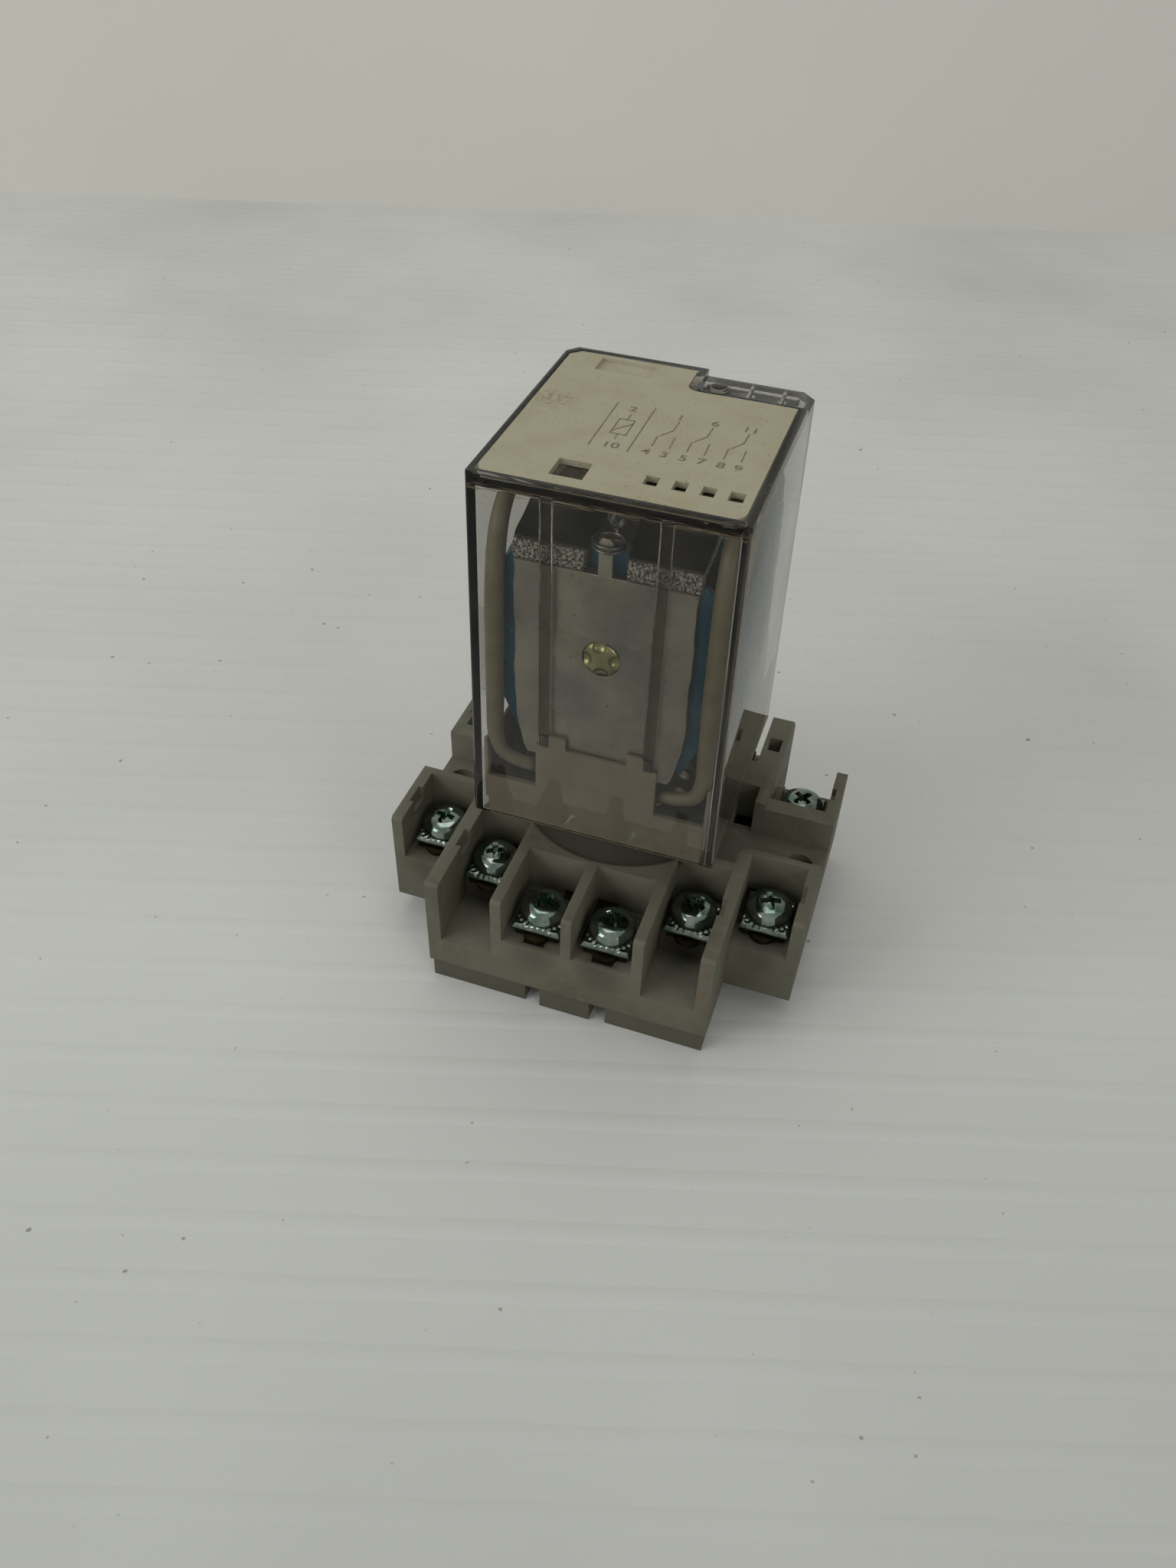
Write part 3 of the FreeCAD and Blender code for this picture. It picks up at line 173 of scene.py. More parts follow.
# %% The floor and the wall
WALL_AWAY = 486 * MM
ROOM = 6
heading = Matrix.Rotation(AZIMUTH, 4, "Z")
upright = Matrix.Rotation(math.pi / 2, 4, "X")
floor = add("plane", "floor", size=ROOM)
floor.matrix_world = heading
wall = add("plane", "wall", size=ROOM)
ground = Vector((camera.location.x, camera.location.y, 0))
facing = heading @ Vector((0, 1, 0))
wall.matrix_world = Matrix.Translation(ground + facing * WALL_AWAY) @ heading @ upright
print("wall at", [round(value / MM) for value in wall.matrix_world.translation])

# %% [markdown]
# ## Light
#
# The light of a white tent comes from everywhere, so the world does most of the work and the
# floor hardly shows a shadow. Metal looks like metal because of what it reflects, so three
# lamps add contrast: a dim broad one overhead, and two in front, left and right, which make
# the two bright spots that a domed screw head shows. The levels are set so that a colour
# renders about as it is written.

# %% Panels and world
AIM = Vector((0, 0, 30))


def panel(name, place, width, depth, watts):
    """A rectangular lamp at a place in millimetres, which faces the middle of the object."""
    bpy.ops.object.light_add(type="AREA", location=Vector(place) * MM)
    lamp = bpy.context.object
    lamp.name = name
    lamp.data.shape = "RECTANGLE"
    lamp.data.size = width * MM
    lamp.data.size_y = depth * MM
    lamp.data.energy = watts
    lamp.rotation_euler = (AIM - Vector(place)).to_track_quat("-Z", "Y").to_euler()


panel("overhead_panel", (-60, 100, 640), 420, 300, 0.6)
panel("left_panel", (-430, -420, 380), 440, 340, 1.5)
panel("right_panel", (430, -380, 330), 150, 130, 0.35)

world = bpy.data.worlds.new("room")
bpy.context.scene.world = world
world.use_nodes = True
sky = world.node_tree.nodes["Background"]
sky.inputs["Color"].default_value = (0.5, 0.5, 0.49, 1)
sky.inputs["Strength"].default_value = 0.95
bpy.context.scene.view_settings.view_transform = "Standard"

# %% [markdown]
# ## How a finish is built
#
# Every finish starts as a Principled shader with plain values for what is the same all over,
# and then gains the detail that the eye reads as a material: a change of colour over the
# surface, a change of gloss, and a fine relief. All three come from noise on Object
# coordinates, so a finish has the same grain on every piece that wears it. Masks along an
# axis or round a place say where an effect shows, and one mask times another is where both do.

# %% Helpers for finishes
def colour(red, green, blue):
    """A colour from 0 to 255 on screen, as the linear value that a shader takes."""
    linear = []
    for part in (red, green, blue):
        part = part / 255
        linear.append(part / 12.92 if part <= 0.04045 else ((part + 0.055) / 1.055) ** 2.4)
    return (*linear, 1.0)


class Finish:
    """A material that is built up one effect at a time."""

    def __init__(self, name, base, **values):
        self.material = bpy.data.materials.new(name)
        self.material.use_nodes = True
        self.tree = self.material.node_tree
        self.shader = self.tree.nodes["Principled BSDF"]
        self.place = self.node("TexCoord").outputs["Object"]
        self.shader.inputs["Base Color"].default_value = base
        self.base = self.constant(base)
        self.height = None
        for key, value in values.items():
            self.shader.inputs[key.replace("_", " ").title().replace("Ior", "IOR")].default_value = value

    def constant(self, value):
        """A plain colour that other effects can be mixed with."""
        source = self.node("RGB").outputs[0]
        source.default_value = value
        return source

    def node(self, kind, **settings):
        """Adds a shader node by its short name."""
        made = self.tree.nodes.new("ShaderNode" + kind)
        for key, value in settings.items():
            setattr(made, key, value)
        return made

    def join(self, source, target):
        """Links an output to an input."""
        self.tree.links.new(source, target)

    def noise(self, size, detail=2.0, stretch=(1, 1, 1)):
        """Noise with features of a size in millimetres, from 0 to 1."""
        scaled = self.node("Mapping")
        scaled.inputs["Scale"].default_value = [1 / (size * MM * part) for part in stretch]
        self.join(self.place, scaled.inputs["Vector"])
        made = self.node("TexNoise")
        made.inputs["Scale"].default_value = 1.0
        made.inputs["Detail"].default_value = detail
        self.join(scaled.outputs["Vector"], made.inputs["Vector"])
        return made.outputs["Fac"]

    def spread(self, source, low, high, to_low=0.0, to_high=1.0):
        """Stretches part of a source's range, and stops at both ends."""
        made = self.node("MapRange", clamp=True)
        limits = {"From Min": low, "From Max": high, "To Min": to_low, "To Max": to_high}
        for key, value in limits.items():
            made.inputs[key].default_value = value
        self.join(source, made.inputs["Value"])
        return made.outputs["Result"]

    def sums(self, operation, first, second):
        """One step of arithmetic on two outputs or numbers."""
        made = self.node("Math", operation=operation)
        for slot, value in zip(made.inputs, (first, second)):
            if isinstance(value, (int, float)):
                slot.default_value = value
            else:
                self.join(value, slot)
        return made.outputs[0]

    def overlap(self, first, *others):
        """Where all of these masks are high. A number among them weakens the whole."""
        for other in others:
            first = self.sums("MULTIPLY", first, other)
        return first

    def tint(self, mask, other, strength=1.0):
        """Lays another colour over the base where the mask is high."""
        made = self.node("Mix", data_type="RGBA")
        self.join(mask if strength == 1.0 else self.overlap(mask, strength), made.inputs["Factor"])
        self.join(self.base, made.inputs["A"])
        made.inputs["B"].default_value = other
        self.base = made.outputs["Result"]
        self.join(self.base, self.shader.inputs["Base Color"])
        return self

    def mottle(self, size, other, low=0.35, high=0.75, detail=3.0):
        """Clouds of another colour."""
        return self.tint(self.spread(self.noise(size, detail), low, high), other)

    def specks(self, size, other, amount=0.7, detail=1.0):
        """Small hard-edged spots."""
        return self.tint(self.spread(self.noise(size, detail), amount, amount + 0.04), other)

    def gloss(self, size, low, high):
        """Roughness that wanders between two values."""
        wandering = self.spread(self.noise(size, 3.0), 0.3, 0.7, low, high)
        self.join(wandering, self.shader.inputs["Roughness"])
        return self

    def relief(self, source, depth, strength=1.0):
        """Bump of a depth in millimetres. Each call adds to the one before."""
        bump = self.node("Bump")
        bump.inputs["Strength"].default_value = strength
        bump.inputs["Distance"].default_value = depth * MM
        self.join(source, bump.inputs["Height"])
        if self.height is not None:
            self.join(self.height, bump.inputs["Normal"])
        self.height = bump.outputs["Normal"]
        self.join(self.height, self.shader.inputs["Normal"])
        return self

    def grain(self, size, depth, stretch=(1, 1, 1)):
        """Fine relief from noise, its size and depth in millimetres."""
        return self.relief(self.noise(size, stretch=stretch), depth)

    def where(self, axis, low, high):
        """A mask that rises from 0 to 1 between two heights in millimetres along an axis."""
        split = self.node("SeparateXYZ")
        self.join(self.place, split.inputs["Vector"])
        return self.spread(split.outputs[axis], low * MM, high * MM)

    def spot(self, centre, inner, outer):
        """A round mask in millimetres: 1 within the inner radius, 0 beyond the outer."""
        away = self.node("VectorMath", operation="DISTANCE")
        self.join(self.place, away.inputs[0])
        away.inputs[1].default_value = Vector(centre) * MM
        return self.spread(away.outputs["Value"], inner * MM, outer * MM, 1.0, 0.0)


def wear(piece, finish):
    """Gives a piece or a node one finish."""
    piece.data.materials.clear()
    piece.data.materials.append(finish.material)


print("helpers for finishes are ready")

# %% [markdown]
# ## Plastics
#
# The socket is a grey thermoplastic with a beige cast. Close up it has the fine dull grain of
# a spark-eroded mould, faint clouds of handling dirt, and a few dark specks. The relay's base
# and top plate are paler and yellower. The coil former is a glossier blue.

# %% Plastic finishes
socket_grey = Finish("socket_grey", colour(98, 96, 82), roughness=0.6, specular_ior_level=0.35)
socket_grey.mottle(9, colour(89, 86, 71), 0.42, 0.7).mottle(2.2, colour(104, 102, 89), 0.55, 0.8)
socket_grey.specks(0.6, colour(62, 55, 43), 0.78).gloss(3, 0.5, 0.7).grain(0.16, 0.012)

pale_base = Finish("pale_base", colour(135, 129, 111), roughness=0.5, specular_ior_level=0.4)
pale_base.mottle(6, colour(127, 119, 101), 0.4, 0.7).specks(0.7, colour(84, 72, 58), 0.77)
pale_base.gloss(3, 0.42, 0.6).grain(0.2, 0.008)

plate_cream = Finish("plate_cream", colour(163, 158, 136), roughness=0.6, specular_ior_level=0.3)
plate_cream.mottle(5, colour(158, 151, 125), 0.42, 0.72).specks(0.3, colour(124, 110, 84), 0.68, 2.0)
plate_cream.gloss(4, 0.5, 0.7).grain(0.22, 0.014)

former_blue = Finish("former_blue", colour(0, 108, 140), roughness=0.3, specular_ior_level=0.5)
former_blue.mottle(4, colour(0, 90, 120), 0.4, 0.7).gloss(2, 0.22, 0.4).grain(0.3, 0.006)

lead_cream = Finish("lead_cream", colour(124, 118, 96), roughness=0.45, specular_ior_level=0.4)
lead_cream.mottle(3, colour(112, 105, 84), 0.4, 0.7).gloss(2, 0.35, 0.55).grain(0.3, 0.01)
print("materials so far:", len(bpy.data.materials))

# %% [markdown]
# Some places get little light, and that shade is painted into the colour: the terminals' cells,
# the side of the round boss under the relay and the plate at the foot are painted darker than
# the decks, and so is the inside of the relay's base behind its front. The front end of the right
# outer wall is rubbed brown in streaks, and the top plate has a smudge near its left edge. Each
# place is a mask.

# %% Painted shade and worn places
CELL_Z = 11.5
CELL_SHADE_CORE = 3.5
CELL_SHADE_EDGE = 7.5
BOSS_MIDDLE = (0, 0, 24)
BOSS_TOP = 28.5
FOOT_TOP = 4.2
SMUDGE = (-14.2, 3.0, 85.4)
# Painted shade: each terminal's cell is darkened round its screw, where its walls keep the light out.
for tag in TERMINALS:
    low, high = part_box("clamp_plate_" + tag)
    x, y = ((low[axis] + high[axis]) / 2 / MM for axis in (0, 1))
    socket_grey.tint(socket_grey.spot((x, y, CELL_Z), CELL_SHADE_CORE, CELL_SHADE_EDGE), colour(38, 36, 28), 0.85)
# Painted shadow: the side of the round boss under the cover's front edge is darkened.
boss = socket_grey.overlap(socket_grey.spot(BOSS_MIDDLE, 16.9, 17.3),
                           socket_grey.where("Z", BOSS_TOP + 0.1, BOSS_TOP - 0.1))
socket_grey.tint(boss, colour(32, 31, 22), 0.8)
# Painted shade: everything of the socket below the top of the foot plate is darkened.
socket_grey.tint(socket_grey.where("Z", FOOT_TOP + 0.2, FOOT_TOP - 0.2), colour(76, 74, 62), 0.8)
streaks = socket_grey.spread(socket_grey.noise(1.0, 3.0, (0.6, 1, 2.5)), 0.5, 0.62)
wall_end = socket_grey.overlap(socket_grey.where("X", 20.2, 20.8), socket_grey.where("Y", -29.5, -29.9),
                               socket_grey.where("Z", 9.0, 12.0))
socket_grey.tint(socket_grey.overlap(wall_end, streaks), colour(104, 80, 58), 0.6)

# Painted shade: the inside of the relay's base and of its side walls, behind the front, is darkened.
painted_inside_shade = pale_base.overlap(pale_base.where("Y", -16.9, -16.5), pale_base.where("Z", 31.0, 31.5))
pale_base.tint(painted_inside_shade, colour(50, 47, 38), 0.8)

clouds = plate_cream.spread(plate_cream.noise(0.7, 3.0), 0.45, 0.6)
smudge = plate_cream.overlap(plate_cream.spot(SMUDGE, 1.0, 3.4), clouds)
plate_cream.tint(smudge, colour(112, 100, 80), 0.6)
print("nodes in the socket's finish:", len(socket_grey.tree.nodes))

# %% [markdown]
# The floor is a ribbed plastic board, so it has very faint ridges across the view, a little
# sheen and a few specks of grit. It is painted a little darker in front and lighter behind, a
# painted gradient of light. The wall is plain.

# %% Floor and wall finishes
board = Finish("board", colour(207, 209, 205), roughness=0.42, specular_ior_level=0.3)
# Painted shade in front and painted light behind: the floor's colour falls off towards the camera.
board.tint(board.where("Y", -20, -110), colour(190, 192, 188))
board.tint(board.where("Y", 30, 200), colour(213, 215, 211))
board.mottle(90, colour(200, 202, 198), 0.4, 0.7).specks(1.6, colour(150, 148, 142), 0.8, 0.5)
ridges = board.node("TexWave", wave_type="BANDS", bands_direction="Y")
ridges.inputs["Scale"].default_value = 36
ridges.inputs["Distortion"].default_value = 0.3
board.join(board.place, ridges.inputs["Vector"])
board.relief(board.spread(ridges.outputs["Fac"], 0.72, 1.0), 0.16, 0.5)
wear(floor, board)

backdrop = Finish("backdrop", colour(219, 218, 211), roughness=0.9, specular_ior_level=0.1)
backdrop.mottle(300, colour(213, 212, 205), 0.4, 0.7)
wear(wall, backdrop)
print("stage finished:", board.material.name, backdrop.material.name)

# %% [markdown]
# ## Metals
#
# The frame and the armature are cut from zinc-plated sheet, which is satin with faint clouds.
# Screws and clamp plates have a brighter plating that leans towards green. The core is plated
# yellow. Brass, copper and the contact alloy are seen only inside, and the brass of the contact
# strips is painted dark, a painted shade.

# %% Metal finishes
def metal(name, base, rough, other, cloud=2.5, scratch=0.004):
    """A metal with clouds of a second tone and fine random scratches."""
    made = Finish(name, base, metallic=1.0, roughness=rough)
    made.mottle(cloud, other, 0.35, 0.7).gloss(1.2, rough * 0.8, rough * 1.25)
    return made.grain(0.12, scratch, stretch=(1, 1, 6))


zinc_sheet = metal("zinc_sheet", colour(176, 174, 166), 0.42, colour(160, 158, 148))
bright_zinc = metal("bright_zinc", colour(148, 157, 149), 0.12, colour(92, 118, 106), 1.6, 0.0015)
plate_zinc = metal("plate_zinc", colour(138, 146, 134), 0.22, colour(84, 104, 92), 1.2, 0.004)
yellow_core = metal("yellow_core", colour(178, 174, 132), 0.36, colour(150, 148, 104))
spring_steel = metal("spring_steel", colour(150, 150, 146), 0.3, colour(120, 120, 116))
# Painted shade: the strips' brass is near-black, for the shade under the clamp plates.
strip_brass = metal("strip_brass", colour(66, 59, 42), 0.5, colour(44, 40, 30))
tinned_brass = metal("tinned_brass", colour(190, 184, 160), 0.3, colour(160, 152, 126))
contact_alloy = metal("contact_alloy", colour(190, 178, 150), 0.32, colour(164, 150, 120))
coil_copper = metal("coil_copper", colour(172, 104, 66), 0.38, colour(140, 78, 46))
print("finishes:", len(bpy.data.materials))

# %% [markdown]
# ## Mouldings and bent plates
#
# The frame's solids have knife edges, and real mouldings never do: a mould's edges are
# slightly round, and that thin round catches a line of light which tells the eye the size of
# the thing. A node's mesh is loose triangles, so a copy of it is merged, its flat faces are
# joined up by a limited dissolve, and a Bevel modifier rounds every edge that turns sharply.
# Where round edges meet, a bevel can push a vertex out a hair, so each one is kept in the box.

# %% Helpers that round a node's edges
def welded(node, name):
    """A copy of a node, with its triangles merged and its flat faces made whole."""
    piece = copy_of(nodes[node], name)
    edit(piece, "FACE", lambda face: True)
    bpy.ops.mesh.remove_doubles(threshold=0.001 * MM)
    bpy.ops.mesh.dissolve_limited(angle_limit=math.radians(2))
    close()
    return piece


def soften(piece, width, degrees):
    """Rounds the edges that turn by more than an angle, to a width in millimetres."""
    apply(piece, "BEVEL", width=width * MM, segments=2, limit_method="ANGLE",
          angle_limit=math.radians(degrees), use_clamp_overlap=True)


def rounded(node, name, body, width, finish):
    """A copy of a node with soft edges, which stands for it."""
    piece = welded(node, name)
    soften(piece, width, 32)
    low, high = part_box(node)
    for corner in piece.data.vertices:
        corner.co = [min(max(at, least), most) for at, least, most in zip(corner.co, low, high)]
    smooth(piece)
    wear(piece, finish)
    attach(piece, body)
    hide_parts(node)
    print(name, len(piece.data.polygons), "faces")
    return piece


# %% The plastic mouldings
rounded("socket_body", "socket_moulding", "socket", 0.22, socket_grey)
rounded("socket_base_plate", "base_plate", "socket", 0.18, socket_grey)
rounded("din_latch", "rail_latch_tongue", "latch", 0.15, socket_grey)
rounded("relay_base", "relay_foot", "relay", 0.18, pale_base)
rounded("coil_bobbin", "coil_former", "relay", 0.2, former_blue)
rounded("contact_carrier", "contact_bridge", "armature", 0.2, former_blue)

# %% [markdown]
# ## Terminal screws
#
# Each terminal is closed by a bright domed screw. It starts as a tall cylinder whose top rim
# is bevelled nearly to the middle, which makes half a ball, and it is then flattened to the
# height of the head. The recess is a cross with tapered wings and a slot across it, cut out
# by Boolean modifiers. A last bevel rounds the recess's lips, because they are what glitters.
# One screw is modelled on the origin and copied to each terminal, turned by a different
# amount, as screws are when they are driven by hand. The head is a little wider than that of
# the frame's plain screw.

# %% What the frame says about a terminal
plate_low, plate_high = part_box("clamp_plate_01")
screw_low, screw_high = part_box("terminal_screw_01")
PLATE_WIDTH = plate_high[0] - plate_low[0]
PLATE_TALL = plate_high[2] - plate_low[2]
SEAT = plate_high[2] + 0.05 * MM
WIDER_HEAD = 1.08
HEAD_RADIUS = (screw_high[0] - screw_low[0]) / 2 * WIDER_HEAD
HEAD_TALL = screw_high[2] - SEAT
SHANK_LONG = SEAT - screw_low[2]
print("head radius %.2f mm, height %.2f mm" % (HEAD_RADIUS / MM, HEAD_TALL / MM))

# %% The head and the shank
BALL = HEAD_RADIUS * 1.06
RIM_BEVEL = HEAD_RADIUS * 0.96
SHANK_RADIUS = 1.68 * MM
SINK = 0.1 * MM
TIP = 0.2 * MM
TIP_TAPER = 0.75
screw = settle(add("cylinder", "screw", vertices=72, radius=HEAD_RADIUS, depth=BALL,
                   location=(0, 0, BALL / 2)))
rims = edit(screw, "EDGE", lambda edge: all(
    screw.data.vertices[corner].co.z > BALL * 0.9 for corner in edge.vertices))
bpy.ops.mesh.bevel(offset=RIM_BEVEL, segments=22, profile=0.6, affect="EDGES", clamp_overlap=False)
close()
screw.scale.z = HEAD_TALL / BALL
settle(screw)
foot = edit(screw, "EDGE", lambda edge: all(
    screw.data.vertices[corner].co.z < HEAD_TALL * 0.05 for corner in edge.vertices))
bpy.ops.mesh.bevel(offset=0.12 * MM, segments=2, affect="EDGES")
close()
shank = settle(add("cylinder", "shank", vertices=32, radius=SHANK_RADIUS, depth=SHANK_LONG,
                   location=(0, 0, SINK - SHANK_LONG / 2)))
edit(shank, "FACE", lambda face: face.normal.z < -0.9)
bpy.ops.transform.translate(value=(0, 0, TIP - SINK))
bpy.ops.mesh.extrude_region_move(TRANSFORM_OT_translate={"value": (0, 0, -TIP)})
bpy.ops.transform.resize(value=(TIP_TAPER, TIP_TAPER, 1))
close()
carve(screw, shank, "UNION")
print("rim edges rounded:", rims + foot)

# %% The recess and its soft lips
WING_TAPER = 0.55


def wing(name, length, width, deep, turn):
    """A block that narrows downwards, which cuts one pair of wings or the slot."""
    block = settle(add("cube", name, size=1, scale=(length * MM, width * MM, deep * 2 * MM),
                       location=(0, 0, HEAD_TALL), rotation=(0, 0, math.radians(turn))))
    edit(block, "FACE", lambda face: face.normal.z < -0.9)
    bpy.ops.transform.resize(value=(WING_TAPER, WING_TAPER, 1))
    close()
    return block


RECESS = (("wing", 4.2, 1.3, 1.7, 45), ("wing", 4.2, 1.3, 1.7, 135), ("slot", 5.0, 0.95, 0.9, 45))
for sizes in RECESS:
    carve(screw, wing(*sizes))
soften(screw, 0.08, 38)
smooth(screw, 40)
wear(screw, bright_zinc)
print("screw faces:", len(screw.data.polygons))

# %% [markdown]
# ## Clamp plates
#
# Under each head sits a square plate whose middle is pressed up to a low cone, with flutes
# that run out from the screw so that the wire is gripped. It starts as a grid, because a
# formula can then shape it: the middle of the grid is deleted for the screw, the rest is
# extruded up to make a slab, and each vertex on the top is set to the height of the cone
# there, less the flute, which is a cosine of the angle round the screw. The cone is highest
# within the crest and level beyond the skirt, and the plate's outer edge has a round shoulder.

# %% One clamp plate
def share(value):
    """The value, held between 0 and 1."""
    return min(max(value, 0), 1)


RIM = 0.95 * MM
HOLE = 1.9 * MM
CREST = 2.9 * MM
SKIRT = 4.0 * MM
FLUTES = 26
FLUTE_DEPTH = 0.1 * MM
FLUTE_START = 0.4 * MM
FLUTE_END = 4.5 * MM
FLUTE_FADE = 0.5 * MM
SHOULDER = 0.4 * MM
plate = add("grid", "clamp", x_subdivisions=64, y_subdivisions=64, size=PLATE_WIDTH, location=(0, 0, 0))
edit(plate, "FACE", lambda face: face.center.to_2d().length < HOLE)
bpy.ops.mesh.delete(type="FACE")
close()
edit(plate, "FACE", lambda face: True)
bpy.ops.mesh.extrude_region_move(TRANSFORM_OT_translate={"value": (0, 0, RIM)})
close()
for corner in plate.data.vertices:
    out = corner.co.to_2d().length
    slope = share((SKIRT - out) / (SKIRT - CREST))
    rise = (PLATE_TALL - RIM) * (slope * slope * (3 - 2 * slope))
    flute = 0.5 - 0.5 * math.cos(FLUTES * math.atan2(corner.co.y, corner.co.x))
    grip = share((out - CREST) / FLUTE_START) * share((FLUTE_END - out) / FLUTE_FADE)
    inward = PLATE_WIDTH / 2 - max(abs(corner.co.x), abs(corner.co.y))
    shoulder = max(1 - inward / SHOULDER, 0) ** 2
    if corner.co.z > RIM / 2:
        corner.co.z += rise - FLUTE_DEPTH * flute * grip - SHOULDER * shoulder
    else:
        corner.co.z = min(rise, PLATE_TALL - RIM) * 0.8
edit(plate, "FACE", lambda face: True)
bpy.ops.mesh.normals_make_consistent(inside=False)
close()
smooth(plate, 40)
# Painted highlight: the plate's edges under its flat top are painted pale, as if they caught the light.
plate_zinc.tint(plate_zinc.where("Z", RIM / MM - 0.02, RIM / MM - 0.1), colour(226, 224, 212))
wear(plate, plate_zinc)
print("clamp faces:", len(plate.data.polygons))

# %% A screw and a clamp for every terminal
HAND_TURNS = (12, 71, 38, 95, 24, 130, 55, 8, 63, 21, 84)
for tag, turn in zip(TERMINALS, HAND_TURNS):
    low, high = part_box("clamp_plate_" + tag)
    middle = ((low[0] + high[0]) / 2, (low[1] + high[1]) / 2)
    clamp = copy_of(plate, "fluted_clamp_" + tag, (*middle, low[2]))
    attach(clamp, "clamp_" + tag)
    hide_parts("clamp_plate_" + tag)
    pan = copy_of(screw, "pan_screw_" + tag, (*middle, SEAT), math.radians(turn))
    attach(pan, "screw_" + tag)
    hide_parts("terminal_screw_" + tag)
for pattern in (plate, screw):
    bpy.data.objects.remove(pattern)
print("terminals dressed:", len(HAND_TURNS))

# %% [markdown]
# ## The smoked cover
#
# The cover is a box of clear plastic with a brown-grey smoke in it. A clear thing needs both
# its skins: light bends on the way into the wall and again on the way out, and the edges go
# dark because the light there has a long way to go through the smoke. The frame's solid has
# real walls, so a copy with round edges is right, and Volume Absorption makes the smoke.
# A clear shader stops the light of a lamp, so for shadow rays the wall is plain transparent,
# with the smoke's tint. Dust and rubbed marks lie on top as thin dull layers, and the specular
# tint halves the reflection, which keeps the works behind the wall clear to see.

# %% A smoked clear finish with dust on it
cover_low, cover_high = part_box("relay_cover")
TOP = cover_high[2] / MM
INSIDE_FRONT = cover_low[1] / MM + 1.2
RIB_FOOT = cover_low[2] / MM + 17.0
smoked = Finish("smoked_clear", (1, 1, 1, 1), roughness=0.02, transmission_weight=1.0, ior=1.5,
                specular_tint=(0.5, 0.5, 0.5, 1))
absorb = smoked.node("VolumeAbsorption")
absorb.inputs["Color"].default_value = (0.36, 0.33, 0.27, 1)
absorb.inputs["Density"].default_value = 360
output = smoked.tree.nodes["Material Output"]
smoked.join(absorb.outputs["Volume"], output.inputs["Volume"])


def film(below, mask, tone):
    """A thin dull layer over another shader, where the mask is high."""
    dull = smoked.node("BsdfDiffuse")
    dull.inputs["Color"].default_value = tone
    mixed = smoked.node("MixShader")
    smoked.join(mask, mixed.inputs["Fac"])
    smoked.join(below, mixed.inputs[1])
    smoked.join(dull.outputs["BSDF"], mixed.inputs[2])
    return mixed.outputs["Shader"]


haze = smoked.spread(smoked.noise(7.0, 3.0), 0.35, 0.8, 0.0, 0.025)
surface = film(smoked.shader.outputs["BSDF"], haze, colour(150, 142, 122))
print("top of the cover at", round(TOP, 2), "mm, its inside front at", round(INSIDE_FRONT, 2), "mm")

# %% [markdown]
# Some parts of the wall are duller than the rest: the two ribs inside the front and the floor
# of the round window in the top. Patches of a band under the front's upper edge are a painted
# reflection: a tan film stands in for what the wall shows of the plate and its underside there.
# Each is a film of its own, held in place by masks. The right side has the most rubs.

# %% Ribs, painted reflection band and window
RIB_INNER = 6.75 * MM
RIB_OUTER = 8.55 * MM
RIB_BLUR = 0.15 * MM
RIB_TOP = TOP - 2.4
FRONT_WALL = -17.3
WINDOW = (-6.05, -14.05, TOP - 1.0)
apart = smoked.node("SeparateXYZ")
smoked.join(smoked.place, apart.inputs["Vector"])
aside = smoked.sums("ABSOLUTE", apart.outputs["X"], 0.0)
on_rib = smoked.overlap(
    smoked.spread(aside, RIB_INNER, RIB_INNER + RIB_BLUR),
    smoked.spread(aside, RIB_OUTER - RIB_BLUR, RIB_OUTER, 1.0, 0.0),
    smoked.where("Y", INSIDE_FRONT - 0.1, INSIDE_FRONT + 0.1),
    smoked.where("Y", INSIDE_FRONT + 1.1, INSIDE_FRONT + 1.0),
    smoked.where("Z", RIB_FOOT - 0.1, RIB_FOOT), smoked.where("Z", RIB_TOP + 0.2, RIB_TOP))
surface = film(surface, smoked.overlap(on_rib, 0.3), colour(112, 102, 82))
# Painted reflection: tan patches along a band under the front's upper edge.
patches = smoked.spread(smoked.noise(2.6, 0.0, (1, 0.05, 0.05)), 0.56, 0.6)
reflection_band = smoked.overlap(
    smoked.where("Y", FRONT_WALL + 0.3, FRONT_WALL), smoked.where("Z", TOP - 2.3, TOP - 2.1),
    smoked.where("Z", TOP - 1.1, TOP - 1.3), patches)
surface = film(surface, smoked.overlap(reflection_band, 0.7), colour(104, 90, 70))
window = smoked.overlap(smoked.spot(WINDOW, 3.3, 3.6), smoked.where("Z", TOP - 1.3, TOP - 1.1))
surface = film(surface, smoked.overlap(window, 0.85), colour(72, 70, 62))
print("ribs from", round(RIB_FOOT, 2), "to", round(RIB_TOP, 2), "mm")

# %% Dust, rubs and painted shade on the right side
patchy = smoked.spread(smoked.noise(9.0, 2.0), 0.44, 0.62)
right_side = smoked.where("X", 17.0, 17.6)
where_rubbed = smoked.overlap(patchy, smoked.sums("MAXIMUM", right_side, 0.25))
pits = smoked.spread(smoked.noise(0.32, 1.0, (1, 1, 0.5)), 0.67, 0.7)
surface = film(surface, smoked.overlap(pits, where_rubbed), colour(58, 54, 44))
rubs = smoked.spread(smoked.noise(0.45, 4.0, (1, 1, 0.12)), 0.57, 0.72, 0.0, 0.6)
surface = film(surface, smoked.overlap(rubs, where_rubbed), colour(168, 164, 150))
# Painted shade: a thin dark film over the whole right side makes that face darker.
surface = film(surface, smoked.overlap(right_side, 0.17), colour(104, 100, 88))
print("films on the cover:", len([node for node in smoked.tree.nodes if node.type == "BSDF_DIFFUSE"]))

